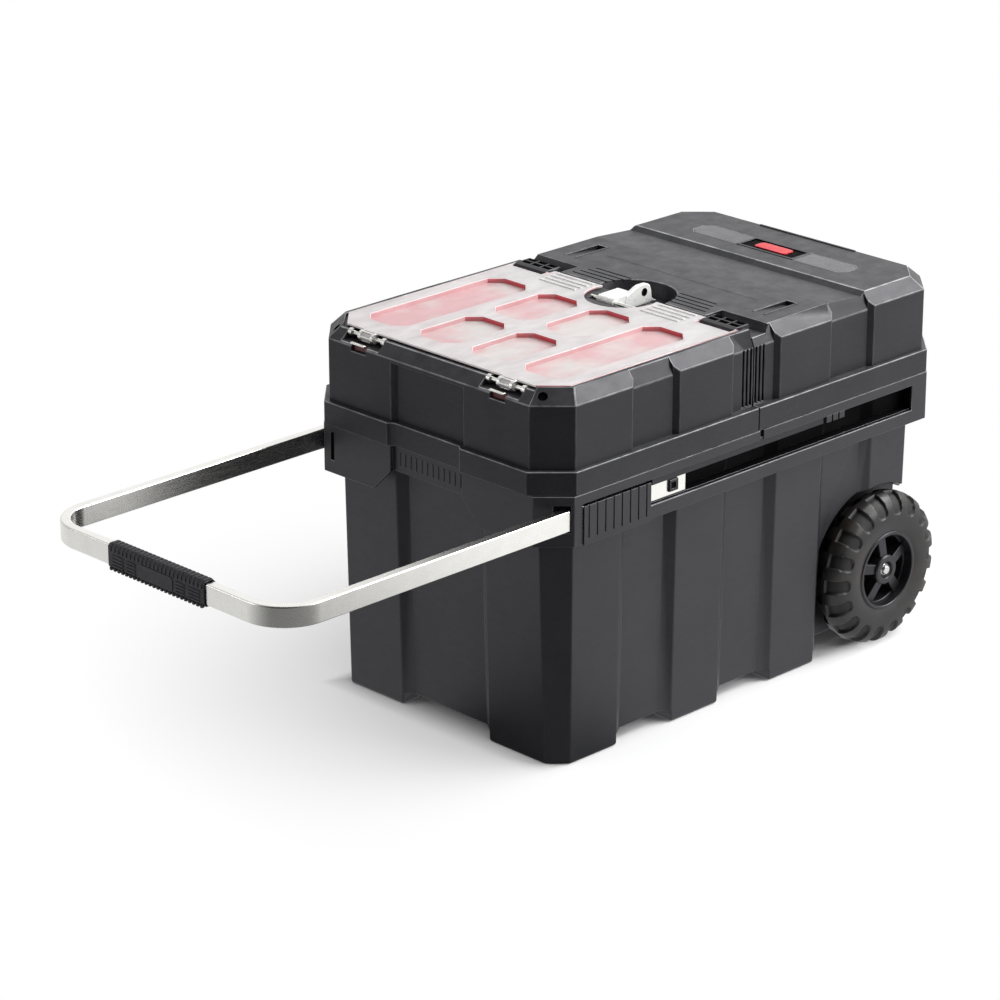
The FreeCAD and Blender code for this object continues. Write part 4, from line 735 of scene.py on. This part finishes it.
# hasp: a broad cast lever rolled round its pin, with a thick ear for the padlock; profiles as (x, z)
haspLook = {
    "lever": [(-24, 397.7), (-30, 402), (-31, 409.5), (-28, 413.4), (-23, 414.6), (1, 415), (6, 413),
    (13, 402.5), (27, 399.9), (37.6, 398.8), (37.6, 397.7)], "ear": [(-12, 403), (-9, 413), (5, 419),
    (10, 420.6), (22, 420.6), (27.4, 417.8), (29.5, 412), (30.5, 403), (36.5, 398.4), (-6, 398.4)],
    "wide": (-0.9, 22.5), "earWide": (-1.5, 4.2), "hole": (18.5, 411.4), "holeRadius": 4.6,
    "holeLength": 30, "lobe": (-26, 409.2), "lobeRadius": 5, "lobes": (1.9, 10.5, 19.1), "lobeLength": 6.6,
    "lobeEdge": 1.2, "edge": 1.3, "steps": 3,
}


def haspLever():
    return softEdges(drawnBar(haspLook["lever"], haspLook["wide"]), haspLook["edge"], haspLook["steps"])


def haspEar():
    hole = bmesh.new()
    x, z = haspLook["hole"]
    addDrum(hole, at(x, 0, z), axisY, haspLook["holeRadius"], haspLook["holeLength"])
    ear = carved(drawnBar(haspLook["ear"], haspLook["earWide"]), hole)
    return softEdges(ear, haspLook["edge"], haspLook["steps"])


def haspLobes():
    form = bmesh.new()
    x, z = haspLook["lobe"]
    for y in haspLook["lobes"]:
        addDrum(form, at(x, y, z), axisY, haspLook["lobeRadius"], haspLook["lobeLength"])
    return softEdges(form, haspLook["lobeEdge"], haspLook["steps"], sharp=edgeRules["drumSharp"])


haspMesh = joinMeshes([haspLever(), haspEar(), haspLobes()])
addPiece(haspMesh, "hasp", "castZinc", bodyOfNode["hasp"], ("hasp",))

# lid hinges: bright loops at the pin's ends, a clip round the knuckle, and the hook below it in its window,
# its red darkened as painted shade
hingeLook = {
    "pin": (-286.5, 407.5), "middle": 102.5, "loop": 4.6, "loopSpots": (-25, 25), "loopLength": 5,
    "loopEdge": 0.8, "clip": (5.15, 6.2), "clipTurn": (20, 235), "clipSteps": 14, "clipEdge": 0.35,
    "straps": (-9, 9), "strap": 4.4, "bars": (30, 105, 170, 225), "barTurn": 9, "barSteps": 3,
    "overlap": 0.3, "lip": (-303.6, -300.4), "lipHeight": (402.4, 404), "hook": (-298.4, -297.1),
    "hookHeight": (394.6, 402.2), "hookHalf": 10.4, "hookEdge": 0.4,
}


def arcStrap(form, y, turns, steps):
    x, z = hingeLook["pin"]
    inner, outer = hingeLook["clip"]
    corners = ((inner, y[0]), (inner, y[1]), (outer, y[1]), (outer, y[0]))
    rings = []
    for step in range(steps + 1):
        angle = math.radians(turns[0] + (turns[1] - turns[0]) * step / steps)
        rings.append([form.verts.new(at(x + radius * math.cos(angle), side, z + radius * math.sin(angle)))
                      for radius, side in corners])
    for first, second in zip(rings, rings[1:]):
        for i in range(4):
            j = (i + 1) % 4
            form.faces.new((first[i], first[j], second[j], second[i]))
    form.faces.new(rings[0])
    form.faces.new(list(reversed(rings[-1])))


def hingeClip(middle):
    form = bmesh.new()
    half = hingeLook["strap"] / 2
    for spot in hingeLook["straps"]:
        y = (middle + spot - half, middle + spot + half)
        arcStrap(form, y, hingeLook["clipTurn"], hingeLook["clipSteps"])
    first, last = hingeLook["straps"]
    inner = half - hingeLook["overlap"]
    for turn in hingeLook["bars"]:
        turns = (turn - hingeLook["barTurn"], turn + hingeLook["barTurn"])
        arcStrap(form, (middle + first + inner, middle + last - inner), turns, hingeLook["barSteps"])
    faceOut(form)
    return softEdges(form, hingeLook["clipEdge"])


def hingeLoops(middle):
    form = bmesh.new()
    x, z = hingeLook["pin"]
    for spot in hingeLook["loopSpots"]:
        addDrum(form, at(x, middle + spot, z), axisY, hingeLook["loop"], hingeLook["loopLength"])
    return softEdges(form, hingeLook["loopEdge"], sharp=edgeRules["drumSharp"])


def hingeBar(middle, kind):
    y = (middle - hingeLook["hookHalf"], middle + hingeLook["hookHalf"])
    return softEdges(blocks((hingeLook[kind], y, hingeLook[f"{kind}Height"])), hingeLook["hookEdge"])


for side, way in sides.items():
    middle = way * hingeLook["middle"]
    end = side.capitalize()
    pinBody = bodyOfNode[f"lid_hinge_pin_{side}"]
    addPiece(hingeClip(middle), f"hingeClip{end}", "brightZinc", "lid")
    addPiece(hingeLoops(middle), f"hingeLoops{end}", "brightZinc", pinBody)
    addPiece(hingeBar(middle, "lip"), f"hingeLip{end}", "brightZinc", "front_top")
    addPiece(hingeBar(middle, "hook"), f"hingeHook{end}", "wineRedPlastic", "front_top")
print("hasp and hinges made")

# handle: a tube with well rounded corners
handleLook = {"edge": 2.4, "steps": 4}
handleMesh = softEdges(nodeForm("handle_bar"), handleLook["edge"], handleLook["steps"])
addPiece(handleMesh, "handleBar", "brightZinc", "handle", ("handle_bar",))

# grip: a ribbed sleeve, its front face lined at both ends round a bare field; ribs as (inward, down)
gripLook = {
    "inset": 1.0, "near": 0.2, "edge": 0.5, "margin": 1, "ribs": 24, "ribShare": 0.52, "ribDrop": 8.5,
    "ribBack": [(4.2, 0), (1.2, 2.6), (2.4, 2.6), (5, 1.6)],
    "ribFront": [(5, 1.6), (1.6, 5), (1.6, 8.5), (0, 8.5), (0, 4.2), (4.2, 0)], "ribEdge": 0.4,
    "tooth": (0.1, 4), "toothHeight": 3.4, "lines": 4, "lineHeight": 2.0, "lineSpan": (30, 66),
    "lineFoot": 4.5, "lineHead": 1.5, "split": 46, "gap": 5, "seat": 0.4, "field": (26, 15),
    "fieldProud": 0.2, "fieldFoot": 3, "fieldRound": 3.5, "fieldSteps": 4, "fieldEdge": 0.3,
}
gripLow, gripHigh = spanOf("handle_grip")
ribPitch = (gripHigh.y - gripLow.y - 2 * gripLook["margin"]) / gripLook["ribs"]
ribMiddle = gripLow.y + gripLook["margin"] + ribPitch / 2
ribHalf = ribPitch * gripLook["ribShare"] / 2
ribWide = (ribMiddle - ribHalf, ribMiddle + ribHalf)


def gripRow(form, count, step):
    return rowOf(softEdges(form, gripLook["ribEdge"], 1), count, step, "gripRubber")


def gripSleeve():
    low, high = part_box("handle_grip")
    form = nodeForm("handle_grip")
    middle = (low + high) / 2
    for vert in form.verts:
        for axis in (0, 2):
            offset = vert.co[axis] - middle[axis]
            if abs(offset) > high[axis] - middle[axis] - gripLook["near"] * mm:
                vert.co[axis] -= math.copysign(gripLook["inset"] * mm, offset)
    return softEdges(form, gripLook["edge"])


def gripRibs():
    profile = [(gripHigh.x - x, gripHigh.z - z) for x, z in gripLook["ribBack"]]
    profile += [(gripLow.x + x, gripHigh.z - z) for x, z in gripLook["ribFront"]]
    return gripRow(drawnBar(profile, ribWide), gripLook["ribs"], (0, ribPitch * mm, 0))


def gripTeeth():
    x = [gripLow.x + reach for reach in gripLook["tooth"]]
    teeth = blocks((x, ribWide, (gripLow.z, gripLow.z + gripLook["toothHeight"])))
    return gripRow(teeth, gripLook["ribs"], (0, ribPitch * mm, 0))


def gripLines():
    low = gripLow.z + gripLook["lineFoot"]
    step = (gripHigh.z - gripLook["ribDrop"] - gripLook["lineHead"] - low) / gripLook["lines"]
    x = (gripLow.x, gripLow.x + gripLook["inset"] + gripLook["seat"])
    start, end = gripLook["lineSpan"]
    split, half = gripLook["split"], gripLook["gap"] / 2
    z = (low, low + gripLook["lineHeight"])
    lines = blocks(*bothSides(x, (start, split - half), z), *bothSides(x, (split + half, end), z))
    return gripRow(lines, gripLook["lines"], (0, 0, step * mm))


def gripField():
    wide, tall = gripLook["field"]
    middle = (gripLow.z + gripLook["fieldFoot"] + gripHigh.z - gripLook["ribDrop"]) / 2
    x = (gripLow.x + gripLook["fieldProud"], gripLow.x + gripLook["inset"] + gripLook["seat"])
    form = blocks((x, (-wide, wide), (middle - tall / 2, middle + tall / 2)))
    roundCorners(form, 0, gripLook["fieldRound"], gripLook["fieldSteps"])
    return softEdges(form, gripLook["fieldEdge"], 1)


gripMesh = joinMeshes([gripSleeve(), gripRibs(), gripTeeth(), gripLines(), gripField()])
addPiece(gripMesh, "handleGrip", "gripRubber", "handle", ("handle_grip",))
print("handle and grip made")


# tyres: a rounded casing with deep pockets between lugs that wrap over both shoulders; profile as (y, radius)
tyreShape = {
    "lugs": 18, "pocketDepth": 3.4, "pocketHalf": 8.0, "wall": 1.5, "lip": 0.2, "middleGap": 2.4,
    "pocketEnd": 35, "endRound": 7.5, "shallow": 0.4, "shallowFrom": 14, "around": 36, "steps": 5,
    "sharp": 38, "profile": [(-17.6, 44), (-18.6, 45), (-20.2, 51), (-21, 59), (-20.6, 67), (-19, 74),
    (-15.8, 80), (-10.6, 84.6), (-5, 86.6), (0, 87)],
}


def smoothStep(low, high, value):
    share = min(1.0, max(0.0, (value - low) / (high - low)))
    return share * share * (3 - 2 * share)


def curveThrough(points, steps):
    result = []
    for i in range(len(points) - 1):
        p0, p1, p2, p3 = (Vector(points[min(max(i + k, 0), len(points) - 1)]) for k in (-1, 0, 1, 2))
        for step in range(steps):
            t = step / steps
            result.append(0.5 * (2 * p1 + (p2 - p0) * t + (2 * p0 - 5 * p1 + 4 * p2 - p3) * t * t
                                 + (3 * p1 - p0 - 3 * p2 + p3) * t ** 3))
    return result + [Vector(points[-1])]


# how far a spot is sunk into a pocket, by its way off the tread's middle and off the pocket's middle
def pocketShare(away, across):
    shape = tyreShape
    outside = across - shape["pocketHalf"]
    reach = away - (shape["pocketEnd"] - shape["endRound"])
    if reach > 0:  # round end on the sidewall
        outside = math.hypot(reach, max(0.0, outside + shape["endRound"])) - shape["endRound"]
    return 1 - smoothStep(-shape["wall"], shape["lip"], max(outside, shape["middleGap"] - away))


def tyreSector():
    shape = tyreShape
    half = shape["profile"]
    section = curveThrough(half + [(-y, r) for y, r in reversed(half[:-1])], shape["steps"])
    lengths = [0.0]
    for before, after in zip(section, section[1:]):
        lengths.append(lengths[-1] + (after - before).length)
    middle = lengths[-1] / 2
    pitch = 2 * math.pi / shape["lugs"]
    form = bmesh.new()
    hollow = form.verts.layers.float.new("hollow")
    rows = []
    for i, (spot, run) in enumerate(zip(section, lengths)):
        ahead, behind = section[min(i + 1, len(section) - 1)], section[max(i - 1, 0)]
        slope = (ahead - behind).normalized()
        inward = Vector((slope.y, -slope.x))
        away = abs(run - middle)
        shallow = shape["shallow"] * smoothStep(shape["shallowFrom"], shape["pocketEnd"], away)
        deepest = shape["pocketDepth"] * (1 - shallow)
        row = []
        for step in range(shape["around"] + 1):
            share = step / shape["around"]
            turn = share + (0.5 if run > middle else 0.0)
            sunk = pocketShare(away, abs((turn % 1.0) - 0.5) * pitch * spot.y)
            y, r = spot + inward * (deepest * sunk)
            angle = share * pitch
            vert = form.verts.new(Vector((math.sin(angle) * r, y, math.cos(angle) * r)) * mm)
            vert[hollow] = sunk
            row.append(vert)
        rows.append(row)
    rows.append(rows[0])  # the seat on the hub
    for lower, upper in zip(rows, rows[1:]):
        for step in range(shape["around"]):
            form.faces.new((lower[step], lower[step + 1], upper[step + 1], upper[step]))
    for face in form.faces:
        face.smooth = True
    return asMesh(form, "tyreSector")


for side, way in sides.items():
    low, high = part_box(f"tyre_{side}")
    form = bmesh.new()
    form.from_mesh(ringOf(tyreSector(), tyreShape["lugs"], (low + high) / 2, "tyreRubber"))
    faceOut(form)
    tyre = asMesh(form, "tyre")
    tyre.set_sharp_from_angle(angle=math.radians(tyreShape["sharp"]))
    addPiece(tyre, f"tyre{side.capitalize()}", "tyreRubber", f"wheel_{side}", (f"tyre_{side}",))
print("tyres made")


# hubs: a deep rim, a collar round the nut and five broad spokes; rings as (radius, depth behind the face)
hubShape = {
    "rim": [(40.6, 1.9), (41.3, 1.1), (44.0, 1.1), (44.7, 2.2), (49.6, 4), (49.6, 40), (40.6, 40)],
    "step": [(38.2, 12.6), (38.8, 12), (40.9, 12), (40.9, 40), (38.2, 40)], "collar": [(9.4, 5.2),
    (9.4, 4.2), (10.1, 3.4), (15.4, 3.4), (16.8, 4.8), (16.8, 40), (6.2, 40), (6.2, 12)], "around": 72,
    "sharp": 30, "spokes": 5, "turn": 5, "inner": (14, 5.4, 6.2), "outer": (40.9, 6.4, 10.4), "back": 22,
    "edge": 0.9, "wear": 0.15, "cap": 0.76,
}


def turnedRing(profile, centre, face, way):
    form = bmesh.new()
    count, size = hubShape["around"], len(profile)
    rings = []
    for step in range(count):
        angle = 2 * math.pi * step / count
        rings.append([form.verts.new((centre.x + math.sin(angle) * r * mm, face - way * inset * mm,
                                      centre.z + math.cos(angle) * r * mm)) for r, inset in profile])
    for step in range(count):
        ring, after = rings[step], rings[(step + 1) % count]
        for i in range(size):
            form.faces.new((ring[i], ring[(i + 1) % size], after[(i + 1) % size], after[i]))
    faceOut(form)
    for side in form.faces:
        side.smooth = True
    mesh = asMesh(form, "ring")
    mesh.set_sharp_from_angle(angle=math.radians(hubShape["sharp"]))
    return mesh


def hubSpokes(centre, face, way):
    form = bmesh.new()
    corners = []
    for radius, half, inset in (hubShape["inner"], hubShape["outer"]):
        for depth in (inset, hubShape["back"]):
            y = face - way * depth * mm - centre.y
            corners += [form.verts.new((edge * half * mm, y, radius * mm)) for edge in (-1, 1)]
    boxFaces(form, corners)
    bmesh.ops.rotate(form, verts=form.verts, cent=(0, 0, 0),
                     matrix=Matrix.Rotation(math.radians(-hubShape["turn"]), 3, "Y"))
    # the spokes' edges get a faint painted highlight
    spoke = softEdges(form, hubShape["edge"], wear=hubShape["wear"])
    return ringOf(spoke, hubShape["spokes"], centre, "blackPlastic")


for side, way in sides.items():
    low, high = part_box(f"tyre_{side}")
    centre = (low + high) / 2
    face = high.y if way > 0 else low.y
    end = side.capitalize()
    rings = [turnedRing(hubShape[ring], centre, face, way) for ring in ("rim", "step", "collar")]
    hub = joinMeshes(rings + [hubSpokes(centre, face, way)])
    addPiece(hub, f"wheelHub{end}", "blackPlastic", f"wheel_{side}", (f"wheel_hub_{side}",))
    for vert in bpy.data.objects[f"axleCap{end}"].data.vertices:
        vert.co.x = centre.x + (vert.co.x - centre.x) * hubShape["cap"]
        vert.co.z = centre.z + (vert.co.z - centre.z) * hubShape["cap"]
print("hubs made")


# small raised details and the slots' near-black painted-shade end sheets, one row each; those marked both are
# drawn for the left and mirrored
# the small details' edge rounding, and the strength of their painted edge highlight
detailEdge, detailHighlight = 0.4, 0.5
detailRows = {
    "rimRibs": {
        "x": (-299.7, -298.2), "y": (-47.3, -42.9), "z": (284.5, 299), "step": (0, 8.2, 0), "count": 12,
        "body": "tub"},
    "lidLines": {
        "x": (-37.5, -34.4), "y": (48, 102), "z": (414.1, 415.8), "step": (9, 0, 0), "count": 4,
        "finish": "clearPlastic", "body": "lid", "slot": "clear_plastic", "both": True},
    "slotTabs": {
        "x": (109, 117.5), "y": (182.4, 185), "z": (286.6, 294.4), "step": (10.4, 0, 0), "count": 3,
        "body": "tub", "both": True},
    "slotRail": {
        "x": (-160, -27), "y": (182.4, 184), "z": (287, 297.5), "step": (132, 0, 0), "count": 2,
        "finish": "topPlastic", "body": "tub", "both": True},
    # a near-black sheet at each slot's far end: painted shade
    "slotEnd": {
        "x": (250.6, 253), "y": (169.9, 183), "z": (260, 300), "step": (2.2, 0, 0), "count": 2,
        "finish": "deepPlastic", "body": "tub", "both": True},
    "deckSeam": {
        "x": (77.6, 78.6), "y": (-112, -1), "z": (413.7, 414.25), "step": (0, 113, 0), "count": 2,
        "body": "rear_top"},
    "rampLines": {
        "x": (46.8, 101.4), "y": (130, 131.6), "z": (413.4, 414.8), "step": (0, 16.4, 0), "count": 2,
        "body": "rear_top", "both": True},
    "haspWall": {
        "x": (-40.4, -39), "y": (-30, 30), "z": (397.3, 412.3), "step": (0, 0, 0), "count": 1,
        "finish": "topPlastic", "body": "front_top"},
    "haspRim": {
        "x": (-57, -49), "y": (-42, 42), "z": (411.75, 412.35), "step": (7.6, 0, 0), "count": 2,
        "body": "front_top"},
}
for name, row in detailRows.items():
    finish = row.get("finish", "charcoalPlastic")
    for side, way in sides.items() if row.get("both") else [("", 1)]:
        bar = blocks((row["x"], mirrored(way, *row["y"]), row["z"]))
        bar = softEdges(bar, detailEdge, 1, wear=detailHighlight)
        x, y, z = row["step"]
        mesh = rowOf(bar, row["count"], (x * mm, way * y * mm, z * mm), finish)
        addPiece(mesh, name + side.capitalize(), finish, row["body"])

# a thin lip along the rear deck's back edge
rearLip = {"x": (281.6, 284.4), "y": (-70, 70), "z": (413.4, 415.2), "edge": 0.5}
lipMesh = softEdges(blocks((rearLip["x"], rearLip["y"], rearLip["z"])), rearLip["edge"])
addPiece(lipMesh, "rearLip", "charcoalPlastic", "rear_top")

# badge place: a dark frame with a bare red plate set in it
badgeLook = {
    "border": 3.2, "hollow": (-0.8, 4), "plate": (46, 17), "foot": 1, "proud": 0.7, "round": 4.5,
    "steps": 5, "edge": 0.4,
}


def badgeFrame():
    low, high = spanOf("badge_plate")
    edge = badgeLook["border"]
    outer = blocks(((low.x, high.x), (low.y, high.y), (low.z, high.z + badgeLook["proud"])))
    depth = [high.z + reach for reach in badgeLook["hollow"]]
    hollow = blocks(((low.x + edge, high.x - edge), (low.y + edge, high.y - edge), depth))
    return softEdges(carved(outer, hollow), badgeLook["edge"])


def badgePlate():
    low, high = (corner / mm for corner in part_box("badge_plate"))
    middle = (low.x + high.x) / 2 - middleX / mm
    wide, deep = badgeLook["plate"]
    z = (high.z - badgeLook["foot"], high.z + badgeLook["proud"])
    form = blocks(((middle - deep / 2, middle + deep / 2), (-wide / 2, wide / 2), z))
    roundCorners(form, 2, badgeLook["round"], badgeLook["steps"])
    return softEdges(form, badgeLook["edge"])


addPiece(badgeFrame(), "badgeFrame", "charcoalPlastic", "rear_top", ("badge_plate",))
addPiece(badgePlate(), "badgePlate", "redPlastic", "rear_top", ("badge_plate",))
print("details made")


# floor, light and camera
studio = {
    "camera": (-2.70782, -2.73238, 1.70198), "target": (-0.01804, 0.0, 0.23095), "lens": 140.84,
    "sensor": 36, "farthest": 40, "ambient": 0.5, "floorHalf": 12, "floor": 0.88, "floorLift": 0.42,
    "clearRadius": 0.3, "fadeRadius": 0.6, "shade": 0.08, "shadeFrom": 0.4, "shadeTo": 0.86,
    "brightWay": (0.95, 0.1, 0), "brightSpan": (-0.8, 0.8), "floorMirror": (0.78, 1.0), "floorGloss": 0.85,
    "skyMirror": (0.26, 1.0), "mirrorFade": (0.8, 1.5, 1.0, 0.8), "footprint": (0.281, 0.163, 1),
    "contactFrom": 0.96, "contactTo": 1.07,
}


def rayIs(tree, *ways):
    path = added(tree, "LightPath")
    total = path.outputs[ways[0]]
    for way in ways[1:]:
        total = sums(tree, "MAXIMUM", total, path.outputs[way])
    return total


def vectorStep(tree, way, first, second=(0, 0, 0)):
    step = added(tree, "VectorMath", {0: first, 1: second}, operation=way)
    return step.outputs["Value" if way in ("LENGTH", "DOT_PRODUCT") else "Vector"]


def mixedShaders(tree, share, under, over):
    return added(tree, "MixShader", {0: share, 1: under, 2: over}).outputs[0]


# what glossy surfaces see: bright to the right, dim to the left, dark behind the camera
def mirroredLight(tree, place, levels):
    heading = vectorStep(tree, "NORMALIZE", vectorStep(tree, "MULTIPLY", place, (1, 1, 0)))
    aim = Vector(studio["camera"])
    aim.z = 0
    behind = vectorStep(tree, "DOT_PRODUCT", heading, aim.normalized())
    bright = vectorStep(tree, "DOT_PRODUCT", heading, studio["brightWay"])
    shade = spread(tree, behind, studio["shadeFrom"], studio["shadeTo"], 1.0, studio["shade"])
    return sums(tree, "MULTIPLY", shade, spread(tree, bright, *studio["brightSpan"], *levels))


# 0 under the box, 1 a little way outside it, so that the dark contact under the feet stays
def besideBox(tree, place):
    parts = added(tree, "SeparateXYZ", {0: vectorStep(tree, "DIVIDE", place, studio["footprint"])})
    along, across = (sums(tree, "ABSOLUTE", parts.outputs[axis], 0) for axis in "XY")
    most = sums(tree, "MAXIMUM", along, across)
    return spread(tree, most, studio["contactFrom"], studio["contactTo"], 0.0, 1.0)


def paleFloor():
    half = studio["floorHalf"]
    corners = [(-half, -half, 0), (half, -half, 0), (half, half, 0), (-half, half, 0)]
    plane = bpy.data.meshes.new("floor")
    plane.from_pydata(corners, [], [(0, 1, 2, 3)])
    floor = bpy.data.objects.new("floor", plane)
    scene.collection.objects.link(floor)
    finish = bpy.data.materials.new("paleFloor")
    tree = clearTree(finish)
    matt = added(tree, "BsdfDiffuse", {"Color": (studio["floor"],) * 3 + (1,)})
    place = added(tree, "TexCoord").outputs["Object"]
    centred = vectorStep(tree, "SUBTRACT", place, (middleX, 0, 0))
    away = vectorStep(tree, "LENGTH", centred)
    seen = spread(tree, away, studio["clearRadius"], studio["fadeRadius"], studio["floorLift"], 1.0)
    seen = sums(tree, "MULTIPLY", seen, besideBox(tree, centred))
    seen = sums(tree, "MULTIPLY", seen, rayIs(tree, "Is Camera Ray", "Is Transmission Ray"))
    shown = mixedShaders(tree, seen, matt.outputs[0], added(tree, "Emission").outputs[0])
    glow = mirroredLight(tree, place, studio["floorMirror"])
    glow = sums(tree, "MULTIPLY", spread(tree, away, *studio["mirrorFade"]), glow)
    shine = added(tree, "Emission", {"Strength": glow})
    glossy = sums(tree, "MULTIPLY", rayIs(tree, "Is Glossy Ray"), studio["floorGloss"])
    added(tree, "OutputMaterial", {"Surface": mixedShaders(tree, glossy, shown, shine.outputs[0])})
    plane.materials.append(finish)


def studioWorld():
    scene.world = bpy.data.worlds.new("studio")
    tree = clearTree(scene.world)
    place = added(tree, "TexCoord").outputs["Generated"]
    shade = mirroredLight(tree, place, studio["skyMirror"])
    shade = sums(tree, "MAXIMUM", shade, rayIs(tree, "Is Camera Ray"))
    ambient, seen = (added(tree, "Background", {"Color": (1, 1, 1, 1), "Strength": strength}).outputs[0]
                     for strength in (studio["ambient"], shade))
    share = rayIs(tree, "Is Camera Ray", "Is Glossy Ray", "Is Transmission Ray")
    added(tree, "OutputWorld", {"Surface": mixedShaders(tree, share, ambient, seen)})


lamps = {
    "overhead": {"at": (1.75, -0.85, 2.05), "to": (0.1, 0, 0.2), "size": (1.6, 1.6), "power": 70},
    "nearSide": {"at": (1.7, -2.5, 1.3), "to": (0.15, 0, 0.2), "size": (1.8, 1.4), "power": 54},
    "frontSide": {"at": (-2.6, 1.6, 1.5), "to": (-0.1, 0, 0.25), "size": (1.4, 1.4), "power": 10},
}


def aimed(name, data, spot, target):
    holder = bpy.data.objects.new(name, data)
    holder.location = spot
    holder.rotation_euler = (Vector(target) - Vector(spot)).to_track_quat("-Z", "Y").to_euler()
    scene.collection.objects.link(holder)
    return holder


def placeLamps():
    for name, lamp in lamps.items():
        area = bpy.data.lights.new(name, "AREA")
        area.shape = "RECTANGLE"
        area.size, area.size_y = lamp["size"]
        area.energy = lamp["power"]
        aimed(name, area, lamp["at"], lamp["to"])


def placeCamera():
    lens = bpy.data.cameras.new("camera")
    lens.lens = studio["lens"]
    lens.sensor_width = studio["sensor"]
    lens.clip_end = studio["farthest"]
    scene.camera = aimed("camera", lens, studio["camera"], studio["target"])


paleFloor()
studioWorld()
placeLamps()
placeCamera()
scene.view_settings.view_transform = "Standard"
print("studio ready")
